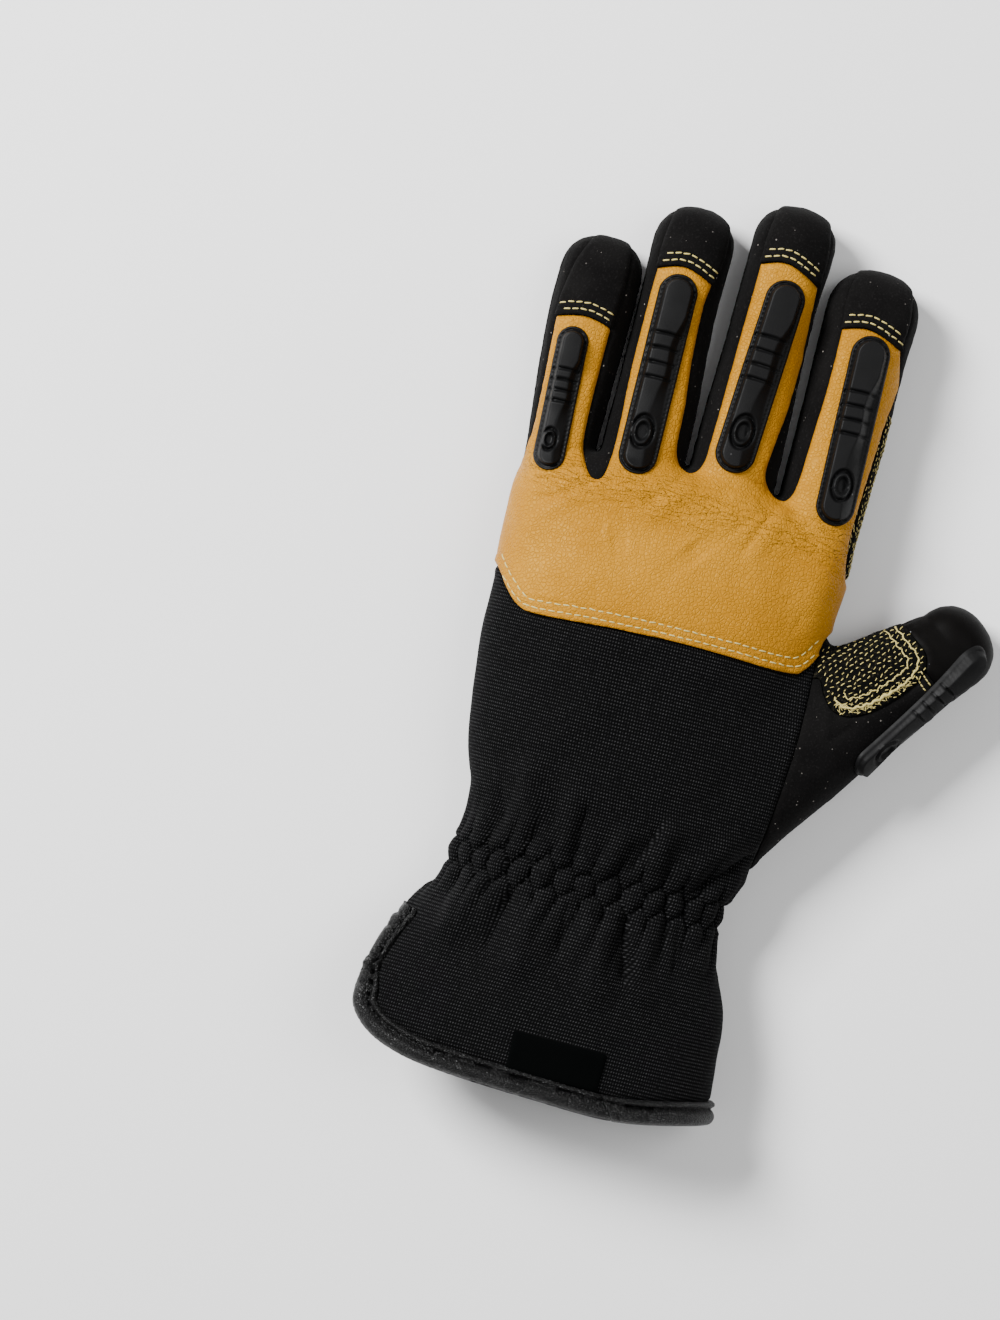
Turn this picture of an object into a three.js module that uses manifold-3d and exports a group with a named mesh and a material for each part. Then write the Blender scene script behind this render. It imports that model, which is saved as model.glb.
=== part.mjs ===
// A padded work glove for the left hand, lying on its palm with its back up and its fingers along +Y.
// The soft form is hollow: a wall of cloth and leather round one open space for the hand, five
// closed digits and an open cuff with a side vent. Straight cuts along the sewing lines part that
// wall into the panels that a glover sews together. Rubber guards, the cuff's edge binding and a
// blank label sit on the panels as pieces of their own.
// Units are millimetres. +X runs to the thumb, +Y to the fingertips, +Z up from the table.
import * as THREE from "three";
import { mergeVertices } from "three/addons/utils/BufferGeometryUtils.js";
import Module from "manifold-3d";

const wasm = await Module();
wasm.setup();

// Driving dimensions

const WALL = 2.0; // cloth or leather with its backing
const GAP = 0.3; // between pieces that lie side by side or on each other
const PRESS = 0.5; // how far the soft underside is pressed flat by the table
const PALM_SEAM_Z = 9; // height of the seam between the palm side and the back
const BELOW = -5; // under everything
const SKY = 70; // above everything
const HAND_SIDES = 26; // facets round the hand and cuff
const DIGIT_SIDES = 14; // facets round a finger or the thumb
const LINING_SHARE = 0.7; // the inner wall is drawn with fewer facets
const BINDING_WIDTH = 6;
const BINDING_PROUD = 0.9; // how far the binding stands off the cloth, inside and out
const LABEL_THICK = 0.8;
const GUARD_FLANGE = 1.5; // thickness of a guard's sewn rim
const GUARD_CORE = 4.2; // height of a guard's raised middle over the cloth
const GUARD_RIM = 1.9; // width of the sewn rim
const GROOVE = { width: 0.8, floor: 2.6, count: 4 };
const THUMB_HEADING = -36.3; // degrees from +Y, to the thumb's side

// The glove is measured from the middle of its knuckle panel. ORIGIN is the point of the table
// below the middle of its bounding box, which is the part's origin.
const ORIGIN = { x: 20.15, y: -13 };

// Sections of the hand and cuff, from the cuff's hem to the knuckles: how far along, where the left
// and right sides lie, and the height of the back.
const HAND_SECTIONS = [
  { along: -158, left: -71.5, right: 53, top: 37 },
  { along: -143, left: -69, right: 53, top: 36.8 },
  { along: -128, left: -65, right: 51.4, top: 36 },
  { along: -118, left: -60, right: 50.6, top: 34.8 },
  { along: -110, left: -54, right: 48.6, top: 33.5 },
  { along: -103, left: -48.5, right: 45.6, top: 32.2 },
  { along: -93, left: -41.2, right: 41.2, top: 29.6 },
  { along: -84, left: -40, right: 40.6, top: 27.8 },
  { along: -73, left: -39, right: 44.2, top: 29.8 },
  { along: -66, left: -41.1, right: 46.6, top: 31 },
  { along: -56, left: -44.6, right: 48.4, top: 32.2 },
  { along: -40, left: -47.4, right: 49.8, top: 33.2 },
  { along: -22, left: -49.4, right: 50, top: 34 },
  { along: -4, left: -50.2, right: 49.8, top: 34.4 },
  { along: 22, left: -51, right: 51.4, top: 31.8 },
];
const HAND = {
  heading: 0,
  sides: HAND_SIDES,
  sections: HAND_SECTIONS,
  dome: { length: 19, squareness: 2.7, rings: 3 },
};

// Sections of each digit, from inside the hand to where its rounded tip begins. A finger runs
// along +Y. The thumb is measured along and across its own heading.
const TIP = { length: 12, squareness: 2.3, rings: 3 };
const DIGITS = {
  little: {
    heading: 0,
    sides: DIGIT_SIDES,
    sections: [
      { along: 14, left: -50, right: -31, top: 24 },
      { along: 38, left: -51.5, right: -30.7, top: 21 },
      { along: 60, left: -53.8, right: -30.6, top: 20 },
      { along: 78, left: -55.4, right: -30.5, top: 20 },
      { along: 91, left: -55.4, right: -30.5, top: 19.5 },
    ],
    dome: TIP,
  },
  ring: {
    heading: 0,
    sides: DIGIT_SIDES,
    sections: [
      { along: 14, left: -28.6, right: -5, top: 27 },
      { along: 42, left: -29.4, right: -3.6, top: 24 },
      { along: 66, left: -29.5, right: -4.7, top: 22.5 },
      { along: 90, left: -29.9, right: -6.2, top: 21.8 },
      { along: 106, left: -30.4, right: -5.9, top: 21.3 },
    ],
    dome: TIP,
  },
  middle: {
    heading: 0,
    sides: DIGIT_SIDES,
    sections: [
      { along: 14, left: -2.4, right: 24, top: 28 },
      { along: 44, left: -2.4, right: 24.4, top: 25 },
      { along: 66, left: -2, right: 23.7, top: 23.2 },
      { along: 90, left: -1.5, right: 22.6, top: 22.4 },
      { along: 114, left: -1.5, right: 23.6, top: 22 },
    ],
    dome: TIP,
  },
  index: {
    heading: 0,
    sides: DIGIT_SIDES,
    sections: [
      { along: 14, left: 27, right: 51.2, top: 27 },
      { along: 42, left: 26, right: 52.3, top: 24.4 },
      { along: 66, left: 25.8, right: 52.9, top: 22.8 },
      { along: 84, left: 25.5, right: 52.8, top: 22.2 },
      { along: 100, left: 25.1, right: 53, top: 21.6 },
    ],
    dome: { ...TIP, length: 13.5 },
  },
  thumb: {
    heading: THUMB_HEADING,
    sides: DIGIT_SIDES,
    sections: [
      { along: -34, left: 58, right: 75, top: 21 },
      { along: -20, left: 51, right: 77.2, top: 25.5 },
      { along: 0, left: 43, right: 77.2, top: 27.5 },
      { along: 14, left: 41, right: 76.2, top: 27.4 },
      { along: 24, left: 41.6, right: 74.4, top: 27 },
      { along: 42, left: 45.6, right: 73.6, top: 25.6 },
      { along: 60, left: 50.6, right: 73.4, top: 24.2 },
    ],
    dome: { ...TIP, length: 12.8 },
  },
};

// The elastic at the wrist draws the cloth into upright puckers.
const GATHER = { y: -85, reach: 11, depth: 0.7, puckers: 13 };

// Cross-section shape: rounder on the back, flatter on the palm, widest below the middle.
const SECTION = { seat: 0.43, back: 2.3, palm: 2.9 };

// Sewing lines seen from above, as the few points that a smooth curve needs.
const SEAMS = {
  leather_hem: [[-60, 8], [-50.5, -0.5], [-46, -6.5], [-41, -11.2], [-34, -12.4], [-10, -10.6],
    [12, -9.8], [40, -10.2], [46, -8], [50, -1.2]],
  little_outer: [[-58, 16], [-52.2, 25], [-50.9, 40], [-51.6, 56], [-52.8, 76], [-52, 90],
    [-49.5, 98], [-45, 108]],
  little_ring: [[-36.6, 108], [-34.7, 92], [-35.4, 77], [-35.4, 64], [-33.4, 46], [-32.4, 37],
    [-29.7, 31.5], [-27.2, 37], [-26.8, 48], [-27.3, 70], [-27.4, 98], [-27.2, 110], [-25, 124]],
  ring_middle: [[-9.5, 124], [-8, 108], [-9.4, 97], [-10.3, 88], [-9.2, 70], [-7.2, 59], [-6.2, 47],
    [-2.9, 41.4], [0, 47], [1, 61], [1.8, 78], [2.2, 106], [2.4, 118], [5, 132]],
  middle_index: [[19, 132], [21.6, 115], [21.3, 104], [22.3, 80], [22.2, 64], [21.4, 48],
    [26.3, 41], [29, 48], [30, 61], [31, 76], [30.7, 94], [30, 105], [33, 120]],
  index_outer: [[58, 18], [51.9, 21], [49.9, 34], [50.3, 50], [51.3, 69], [52.2, 82], [49.9, 93],
    [50.2, 103], [47.5, 120]],
  thumb_root: [[53.5, 7], [50.2, 2.5], [49.3, -3], [49.4, -14], [49.6, -30], [48.6, -52],
    [47.4, -66], [46.8, -74], [48, -86]],
  thumb_patch: [[48.8, -9.6], [51.6, -9.4], [53.6, -13.5], [57.5, -17.4], [62.5, -18], [69, -14.6],
    [76, -8], [80.6, -1], [80.4, 5.5], [75, 10.6], [66, 18]],
};

// Where each cap's sewn edge crosses the finger, as left end, middle and right end.
const CAP_EDGES = {
  little: [[-53.6, 76.4], [-44, 78.5], [-34.8, 76.6]],
  ring: [[-28, 97.8], [-19, 100.2], [-8.6, 96.8]],
  middle: [[1.7, 107], [10.5, 109], [22, 104.4]],
  index: [[30, 94.4], [39, 96.3], [50.4, 92.6]],
};
const INDEX_STRIP_END = [[50.8, 72.5], [60, 72.5]];
const WRIST_SEAM = [[-80, -84], [60, -84]];
const THUMB_TIP_SEAM = [[63.8, 49], [86, 49]]; // across and along the thumb's own heading

// The cuff's cut edge seen from above, from the top of the side vent round to the right side.
const HEM = [[-53, -84], [-50.4, -95], [-50.4, -104], [-53.6, -112], [-57.4, -121], [-59.2, -130],
  [-58.4, -138], [-53, -144], [-44, -148], [-30, -150.3], [0, -151.6], [26, -151.8], [50, -147.6],
  [60, -146]];
const BINDING_JOIN = [[20.6, -140], [25.4, -158]];
const LABEL = { x: 4.5, y: -138.6, width: 28, height: 12 };

// Rubber guards: the middle of the upper end, the middle of the lower end, the width, and the
// width of the oval eye near the foot. The thumb's is measured across and along its own heading,
// from the thumb's middle line, and leans to the outside.
const GUARDS = {
  little: { top: [-46, 74.6], foot: [-43.6, 30.8], width: 9.6, eye: 4.6 },
  ring: { top: [-19.2, 97.8], foot: [-18.1, 36.6], width: 11.8, eye: 6.8 },
  middle: { top: [12.6, 104], foot: [9.4, 44.4], width: 12.2, eye: 7 },
  index: { top: [41, 94.4], foot: [42.8, 36.6], width: 12, eye: 6.4 },
};
const THUMB_GUARD = { top: [0, 67.5], foot: [0, 15], width: 13, eye: 6.4 };
const THUMB_GUARD_SEAT = { across: 61, up: 11, lean: 57 }; // middle line, and degrees from upright
// Shares of a guard's length, measured from its upper end.
const GUARD_MARKS = { firstGroove: 0.3, lastGroove: 0.52, eye: 0.79 };
const EYE = { longer: 1.45, band: 0.9 };

// Colours

const material = (color, roughness, metalness = 0) =>
  new THREE.MeshStandardMaterial({ color, roughness, metalness });
const TAN_LEATHER = material(0xc99440, 0.55);
const STRETCH_KNIT = material(0x17171a, 0.9);
const SUEDE = material(0x121213, 0.95);
const ARAMID_KNIT = material(0x4a4632, 0.9);
const RUBBER = material(0x202021, 0.6);
const BINDING_LEATHER = material(0x1a1a1b, 0.4);
const LABEL_CLOTH = material(0x0c0d0e, 0.8);
const SMOOTH_CLOTH = material(0x101011, 0.6);

// Solids

const radians = THREE.MathUtils.degToRad;
const plan = (points) => points.map(([x, y]) => new THREE.Vector2(x, y));

// A closed three.js geometry as a manifold-3d solid.
function solidOf(geometry) {
  const bare = geometry.clone();
  bare.deleteAttribute("normal");
  bare.deleteAttribute("uv");
  const merged = mergeVertices(bare, 1e-4);
  return new wasm.Manifold(
    new wasm.Mesh({
      numProp: 3,
      vertProperties: merged.attributes.position.array,
      triVerts: new Uint32Array(merged.index.array),
    }),
  );
}

// A solid back as a three.js geometry.
function geometryOf(solid) {
  const mesh = solid.getMesh();
  return new THREE.BufferGeometry()
    .setAttribute("position", new THREE.BufferAttribute(mesh.vertProperties, 3))
    .setIndex(new THREE.BufferAttribute(mesh.triVerts, 1));
}

const unite = (solids) => solids.reduce((all, one) => all.add(one));

// An upright prism over an outline, from one height to another, then moved by a matrix.
function prism(outline, bottom, top, place = new THREE.Matrix4()) {
  const geometry = new THREE.ExtrudeGeometry(new THREE.Shape(outline), {
    depth: top - bottom,
    bevelEnabled: false,
    steps: 1,
  });
  return solidOf(geometry.translate(0, 0, bottom).applyMatrix4(place));
}

// A vector turned a quarter to its left.
const leftOf = (vector) => new THREE.Vector2(-vector.y, vector.x);

// A line moved to its left by a distance.
function shifted(line, distance) {
  return line.map((point, i) => {
    const before = line[Math.max(i - 1, 0)];
    const after = line[Math.min(i + 1, line.length - 1)];
    return point.clone().addScaledVector(leftOf(after.clone().sub(before).normalize()), distance);
  });
}

// The outline of a strip of even width along a line.
const strip = (line, width) => [...shifted(line, width / 2), ...shifted(line, -width / 2).reverse()];

const smooth = (points, perSpan = 2) =>
  new THREE.SplineCurve(plan(points)).getPoints((points.length - 1) * perSpan);

// A thin upright cut along a sewing line.
const kerf = (line, bottom = PALM_SEAM_Z, top = SKY) => prism(strip(line, GAP), bottom, top);

// One ring of points round a section, grown or shrunk by offset. The table presses its underside.
function ring({ along, left, right, top }, sides, offset, shrink, ripple) {
  const middle = (left + right) / 2;
  const half = ((right - left) / 2 + offset) * shrink;
  const seat = SECTION.seat * top;
  const above = (top - seat + offset) * shrink;
  const below = (seat + PRESS + offset) * shrink;
  const points = [];
  for (let i = 0; i < sides; i++) {
    const turn = (2 * Math.PI * i) / sides;
    const [c, s] = [Math.cos(turn), Math.sin(turn)];
    const power = 2 / (s >= 0 ? SECTION.back : SECTION.palm);
    const swell = 1 + ripple(along, turn) / half;
    points.push(
      middle + half * swell * Math.sign(c) * Math.abs(c) ** power,
      along,
      seat + (s >= 0 ? above : below) * swell * Math.sign(s) * Math.abs(s) ** power,
    );
  }
  return points;
}

// A closed skin through a limb's sections, with a flat start and a rounded end.
function limb({ heading, sections, sides, dome }, offset, facets, ripple = () => 0) {
  const count = 2 * Math.round((sides * facets) / 2);
  const last = sections[sections.length - 1];
  const rings = sections.map((section) => ring(section, count, offset, 1, ripple));
  for (let i = 1; i <= dome.rings; i++) {
    const share = Math.sin((Math.PI / 2) * (i / (dome.rings + 0.4)));
    const shrink = (1 - share ** dome.squareness) ** (1 / dome.squareness);
    const section = { ...last, along: last.along + share * (dome.length + offset) };
    rings.push(ring(section, count, offset, shrink, () => 0));
  }
  const seat = SECTION.seat * last.top;
  const middle = (last.left + last.right) / 2;
  const points = [...rings.flat(), middle, last.along + dome.length + offset, seat];
  const first = sections[0];
  points.push((first.left + first.right) / 2, first.along, SECTION.seat * first.top);
  const faces = [];
  const at = (r, i) => r * count + (i % count);
  for (let r = 0; r + 1 < rings.length; r++)
    for (let i = 0; i < count; i++)
      faces.push(at(r, i), at(r + 1, i + 1), at(r, i + 1), at(r, i), at(r + 1, i), at(r + 1, i + 1));
  const [tip, root] = [rings.length * count, rings.length * count + 1];
  for (let i = 0; i < count; i++) {
    faces.push(tip, at(rings.length - 1, i + 1), at(rings.length - 1, i));
    faces.push(root, at(0, i), at(0, i + 1));
  }
  const geometry = new THREE.BufferGeometry()
    .setAttribute("position", new THREE.BufferAttribute(new Float32Array(points), 3))
    .setIndex(faces);
  return solidOf(geometry.rotateZ(radians(heading)));
}

// The wrist's puckers: deepest at the elastic and fading above and below it.
function pucker(along, turn) {
  const fade = Math.max(0, 1 - ((along - GATHER.y) / GATHER.reach) ** 2);
  return turn > Math.PI ? 0 : GATHER.depth * fade * Math.cos(GATHER.puckers * turn);
}

const FIELD = plan([[-200, -300], [300, -300], [300, 300], [-200, 300]]);
const ABOVE_TABLE = prism(FIELD, 0, SKY);

// The whole soft form grown by offset, cut flat where it lies on the table.
function form(offset, facets = 1) {
  const limbs = Object.values(DIGITS).map((digit) => limb(digit, offset, facets));
  return unite([limb(HAND, offset, facets, pucker), ...limbs]).intersect(ABOVE_TABLE);
}

// The space for the hand: the same form shrunk by the wall, run out through the open cuff.
function hollow(inset, facets) {
  const opened = { ...HAND_SECTIONS[0], along: HAND_SECTIONS[0].along - 14 };
  const hand = { ...HAND, sections: [opened, ...HAND_SECTIONS] };
  const limbs = Object.values(DIGITS).map((digit) => limb(digit, -inset, facets));
  return unite([limb(hand, -inset, facets), ...limbs]);
}

// The outline that keeps the glove and drops what lies past the hem, taken in by inset.
function hemZone(inset) {
  const kept = plan([[200, -140], [200, 200], [-150, 200], [-150, -84]]);
  return prism([...shifted(smooth(HEM), inset), ...kept], BELOW, SKY);
}

// Panels

const wall = form(0).subtract(hollow(WALL, LINING_SHARE));
const thumbFrame = new THREE.Matrix4().makeRotationZ(radians(THUMB_HEADING));
const { thumb_root, ...BACK_SEAMS } = SEAMS;
const cuts = unite([
  ...Object.values(BACK_SEAMS).map((line) => kerf(smooth(line))),
  ...Object.values(CAP_EDGES).map((line) => kerf(smooth(line))),
  kerf(plan(INDEX_STRIP_END)),
  kerf(smooth(thumb_root), BELOW),
  kerf(plan(WRIST_SEAM), BELOW, PALM_SEAM_Z),
  prism(strip(plan(THUMB_TIP_SEAM), GAP), PALM_SEAM_Z, SKY, thumbFrame),
  prism(FIELD, PALM_SEAM_Z, PALM_SEAM_Z + GAP),
]);
const panels = wall.intersect(hemZone(BINDING_WIDTH + GAP)).subtract(cuts).decompose();

// The panel that crosses an upright rod through a point of the plan, above or below the palm seam.
function panelAt([x, y], side) {
  const [bottom, top] = side === "palm" ? [BELOW, PALM_SEAM_Z] : [PALM_SEAM_Z + GAP, SKY];
  const square = [[-0.4, -0.4], [0.4, -0.4], [0.4, 0.4], [-0.4, 0.4]].map(([dx, dy]) => [x + dx, y + dy]);
  const rod = prism(plan(square), bottom, top);
  const shared = panels.map((panel) => panel.intersect(rod).volume());
  return panels[shared.indexOf(Math.max(...shared))];
}

// A point inside each panel, seen from above, with its side and its cloth.
const PANELS = {
  leather_back: { at: [0, 10], side: "back", cloth: TAN_LEATHER },
  knit_back: { at: [0, -50], side: "back", cloth: STRETCH_KNIT },
  palm_panel: { at: [0, -30], side: "palm", cloth: SUEDE },
  cuff_palm: { at: [0, -110], side: "palm", cloth: STRETCH_KNIT },
  tip_cap_little: { at: [-43, 90], side: "back", cloth: SUEDE },
  tip_cap_ring: { at: [-18.5, 108], side: "back", cloth: SUEDE },
  tip_cap_middle: { at: [11, 115], side: "back", cloth: SUEDE },
  tip_cap_index: { at: [39.5, 103], side: "back", cloth: SUEDE },
  sidewall_little_outer: { at: [-53.7, 70], side: "back", cloth: SUEDE },
  sidewall_little_ring: { at: [-32.5, 60], side: "back", cloth: SUEDE },
  sidewall_ring_middle: { at: [-6.8, 75], side: "back", cloth: SUEDE },
  sidewall_middle_index: { at: [28, 70], side: "back", cloth: SUEDE },
  sidewall_index_outer: { at: [51.8, 98], side: "back", cloth: SUEDE },
  aramid_index_strip: { at: [51.3, 45], side: "back", cloth: ARAMID_KNIT },
  aramid_thumb_patch: { at: [62, -5], side: "back", cloth: ARAMID_KNIT },
  thumb_back: { at: [62, -30], side: "back", cloth: SUEDE },
  thumb_tip: { at: [89, 16.5], side: "back", cloth: SMOOTH_CLOTH },
  thumb_palm: { at: [65, -20], side: "palm", cloth: SUEDE },
};

// Guards

const skins = {
  under: form(GAP),
  flange: form(GAP + GUARD_FLANGE),
  groove: form(GROOVE.floor),
  core: form(GUARD_CORE),
};

// Outlines in a guard's own plan, whose +Y runs from its foot to its upper end at the origin.
function capsule(from, to, width) {
  const radius = width / 2;
  return new THREE.Shape()
    .absarc(0, -from - radius, radius, 0, Math.PI)
    .absarc(0, radius - to, radius, Math.PI, 2 * Math.PI)
    .getPoints(8);
}
function oval(at, across, along) {
  return new THREE.Shape().absellipse(0, -at, across / 2, along / 2, 0, 2 * Math.PI).getPoints(9).slice(1);
}
const bar = (at, reach, width) =>
  plan([[-reach, -at - width / 2], [reach, -at - width / 2], [reach, -at + width / 2], [-reach, -at + width / 2]]);

// A moulded guard: a sewn rim, a raised middle, four cross grooves and an oval groove round its eye.
function guard({ top, foot, width, eye }, bottom, place) {
  const [head, tail] = plan([top, foot]);
  const length = head.distanceTo(tail);
  const turn = head.clone().sub(tail).angle() - Math.PI / 2;
  const seat = new THREE.Matrix4().makeTranslation(head.x, head.y, 0).premultiply(place);
  seat.multiply(new THREE.Matrix4().makeRotationZ(turn));
  const over = (outline) => prism(outline, bottom, SKY, seat);
  const rim = over(capsule(0, length, width)).intersect(skins.flange);
  const core = over(capsule(GUARD_RIM, length - GUARD_RIM, width - 2 * GUARD_RIM)).intersect(skins.core);
  const spread = (GUARD_MARKS.lastGroove - GUARD_MARKS.firstGroove) / (GROOVE.count - 1);
  const grooves = Array.from({ length: GROOVE.count }, (_, i) =>
    over(bar(length * (GUARD_MARKS.firstGroove + i * spread), width, GROOVE.width)),
  );
  const middle = length * GUARD_MARKS.eye;
  const inside = eye - 2 * EYE.band;
  const eyeGroove = over(oval(middle, eye, eye * EYE.longer)).subtract(
    over(oval(middle, inside, inside * EYE.longer)),
  );
  const cut = unite([...grooves, eyeGroove]).subtract(skins.groove);
  return rim.add(core).subtract(skins.under).subtract(cut);
}

const thumbSide = new THREE.Matrix4()
  .makeTranslation(THUMB_GUARD_SEAT.across, 0, THUMB_GUARD_SEAT.up)
  .multiply(new THREE.Matrix4().makeRotationY(radians(THUMB_GUARD_SEAT.lean)))
  .premultiply(thumbFrame);

// Edge binding and label

const hemBand = hemZone(0).subtract(hemZone(BINDING_WIDTH));
const binding = form(BINDING_PROUD)
  .subtract(hollow(WALL + BINDING_PROUD, LINING_SHARE))
  .intersect(hemBand)
  .subtract(kerf(plan(BINDING_JOIN)));
const labelOutline = [[-1, -1], [1, -1], [1, 1], [-1, 1]].map(([right, up]) => [
  LABEL.x + (right * LABEL.width) / 2,
  LABEL.y + (up * LABEL.height) / 2,
]);
const label = prism(plan(labelOutline), PALM_SEAM_Z, SKY)
  .intersect(form(GAP + LABEL_THICK))
  .subtract(skins.under);

// The glove

const glove = new THREE.Group();
glove.position.set(-ORIGIN.x, -ORIGIN.y, 0);

function add(name, solid, cloth) {
  const mesh = new THREE.Mesh(geometryOf(solid), cloth);
  mesh.name = name;
  glove.add(mesh);
}

for (const [name, { at, side, cloth }] of Object.entries(PANELS)) add(name, panelAt(at, side), cloth);
for (const [name, size] of Object.entries(GUARDS))
  add(`guard_${name}`, guard(size, PALM_SEAM_Z, new THREE.Matrix4()), RUBBER);
add("guard_thumb", guard(THUMB_GUARD, 0, thumbSide), RUBBER);
add("cuff_binding", binding, BINDING_LEATHER);
add("cuff_label", label, LABEL_CLOTH);

export default glove;
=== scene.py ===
# %% [markdown]
# # A needle-resistant work glove, lying on its palm
#
# The packed model is the frame: plain solid panels at their real size and place. Everything that is
# seen is made here, in the same frame, in metres. The glove is first measured in millimetres on its
# own back, from the middle of the knuckle panel, and moved into the frame when a mesh is made.

import math

import bpy
import numpy as np
import openvdb
from mathutils import Matrix, Vector
from mathutils.bvhtree import BVHTree
from mathutils.kdtree import KDTree


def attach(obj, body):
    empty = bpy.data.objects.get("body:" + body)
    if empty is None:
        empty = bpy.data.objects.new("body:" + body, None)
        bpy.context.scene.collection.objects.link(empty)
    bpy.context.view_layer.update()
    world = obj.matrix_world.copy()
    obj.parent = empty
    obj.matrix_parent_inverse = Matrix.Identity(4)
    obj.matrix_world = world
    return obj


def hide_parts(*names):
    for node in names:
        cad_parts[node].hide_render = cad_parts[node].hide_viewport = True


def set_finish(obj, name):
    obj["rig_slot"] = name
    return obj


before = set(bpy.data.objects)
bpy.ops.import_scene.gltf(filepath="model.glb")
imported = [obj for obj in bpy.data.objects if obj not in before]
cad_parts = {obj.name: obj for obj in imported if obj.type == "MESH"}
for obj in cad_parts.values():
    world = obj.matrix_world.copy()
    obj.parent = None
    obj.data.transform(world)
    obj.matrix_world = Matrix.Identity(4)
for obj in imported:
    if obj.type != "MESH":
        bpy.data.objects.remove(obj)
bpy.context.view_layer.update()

# %% Places on the glove, in millimetres
ORIGIN = np.array([20.15, -13.0, 0.0])  # the frame's origin, seen from the middle of the knuckle panel
MM = 0.001


def to_frame(points):
    """Points measured on the glove in millimetres, as points of the frame in metres."""
    return (np.asarray(points, float) - ORIGIN) * MM


print("the frame's origin on the glove, in mm:", ORIGIN.tolist())

# %% [markdown]
# ## The form under the cloth
#
# A sewn glove is a few soft tubes that flow into each other. The tubes could be lofted one by one
# and joined by booleans, but the joins would be hard creases. Here each tube is a short table of
# sections, read as a distance field: how far is a point of space from its skin. Fields can be
# melted together with a soft radius, as cloth does at the root of a finger, and one mesh of the
# zero level then gives the whole form.

# %% Sections of the hand and the digits
SEAT = 0.43  # the widest line of a section, as a share of its height
PRESS = 0.5  # how far the soft underside sinks into the table before it is flattened
BACK_ROUND = 2.3
PALM_ROUND = 2.9
HAND = dict(
    heading=0.0,
    dome=19.0,
    dome_round=2.7,
    # along, left side, right side, height of the back
    rows=[
        (-168, -73.5, 53.2, 37.0),
        (-158, -71.5, 53.0, 37.0),
        (-143, -69.0, 53.0, 36.8),
        (-128, -65.0, 51.4, 36.0),
        (-118, -60.0, 50.6, 34.8),
        (-110, -54.0, 48.6, 33.5),
        (-103, -48.5, 45.6, 32.2),
        (-93, -41.4, 41.2, 29.6),
        (-84, -40.2, 40.6, 27.8),
        (-76, -39.4, 43.0, 29.0),
        (-66, -41.0, 46.6, 31.0),
        (-56, -44.6, 48.4, 32.2),
        (-40, -47.4, 49.8, 33.2),
        (-22, -49.4, 50.0, 34.0),
        (-4, -50.2, 49.8, 34.4),
        (10, -50.5, 50.2, 33.4),
        (22, -51.0, 51.2, 31.8),
    ],
)
TIP_ROUND = 2.3
LITTLE = dict(
    heading=0.0,
    dome=12.0,
    dome_round=TIP_ROUND,
    # the first rows run back inside the hand, so that its heel swells into the finger
    rows=[(-36, -35, -18, 19), (-6, -46.8, -29, 25), (8, -49.3, -31.2, 26), (38, -51.5, -30.7, 21),
          (60, -53.8, -30.6, 20), (78, -55.4, -30.5, 20), (91, -55.2, -30.5, 19.5)],
)
RING = dict(
    heading=0.0,
    dome=12.0,
    dome_round=TIP_ROUND,
    rows=[(8, -28.4, -5.4, 29), (42, -29.4, -3.6, 24.4), (66, -29.5, -4.7, 22.5), (90, -29.9, -6.2, 21.8),
          (106, -30.4, -5.9, 21.3)],
)
MIDDLE = dict(
    heading=0.0,
    dome=12.0,
    dome_round=TIP_ROUND,
    rows=[(8, -2.4, 24, 30), (44, -2.4, 24.4, 25.4), (66, -2, 23.7, 23.2), (90, -1.5, 22.6, 22.4),
          (114, -1.5, 23.6, 22)],
)
INDEX = dict(
    heading=0.0,
    dome=13.5,
    dome_round=TIP_ROUND,
    rows=[(-8, 29.5, 46.5, 22), (12, 27, 50.6, 27.6), (42, 26, 52.3, 24.8), (66, 25.8, 52.9, 22.8),
          (84, 25.5, 52.8, 22.2), (100, 25.1, 53, 21.6)],
)
THUMB_HEADING = math.radians(-36.3)
THUMB = dict(
    heading=THUMB_HEADING,
    dome=12.0,
    dome_round=2.2,
    rows=[(-34, 58, 75, 21), (-20, 51, 77.2, 25.5), (0, 43, 77.4, 27.5), (14, 41, 77.2, 27.4),
          (24, 41.6, 77.0, 27), (42, 46.2, 77.2, 25), (60, 52.2, 78.0, 22)],
)
FINGERS = dict(little=LITTLE, ring=RING, middle=MIDDLE, index=INDEX)
finger_ends = {name: finger["rows"][-1][0] + finger["dome"] for name, finger in FINGERS.items()}
print("the fingers end this far along, in mm:", finger_ends)

# %% Smooth tables and soft joins


def ease(x):
    """0 below 0, 1 above 1, and a smooth step between."""
    x = np.clip(x, 0.0, 1.0)
    return x * x * (3 - 2 * x)


def along_table(at, rows, column):
    """A smooth curve through one column of a table, read at the distances along it."""
    table = np.asarray(rows, float)
    x, y = table[:, 0], table[:, column]
    slope = np.gradient(y, x)
    at = np.clip(at, x[0], x[-1])
    i = np.clip(np.searchsorted(x, at) - 1, 0, len(x) - 2)
    width = x[i + 1] - x[i]
    t = (at - x[i]) / width
    return (
        (1 + 2 * t) * (1 - t) ** 2 * y[i]
        + t * t * (3 - 2 * t) * y[i + 1]
        + width * t * (1 - t) * ((1 - t) * slope[i] - t * slope[i + 1])
    )


print("soft steps:", ease(np.array([0.25, 0.5, 0.75])).round(2).tolist())

# %% Distance to one soft tube


def turned(points, angle):
    """Points of the plan turned about the origin."""
    c, s = math.cos(angle), math.sin(angle)
    points = np.asarray(points, float)
    return np.stack([points[..., 0] * c - points[..., 1] * s, points[..., 0] * s + points[..., 1] * c], -1)


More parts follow.
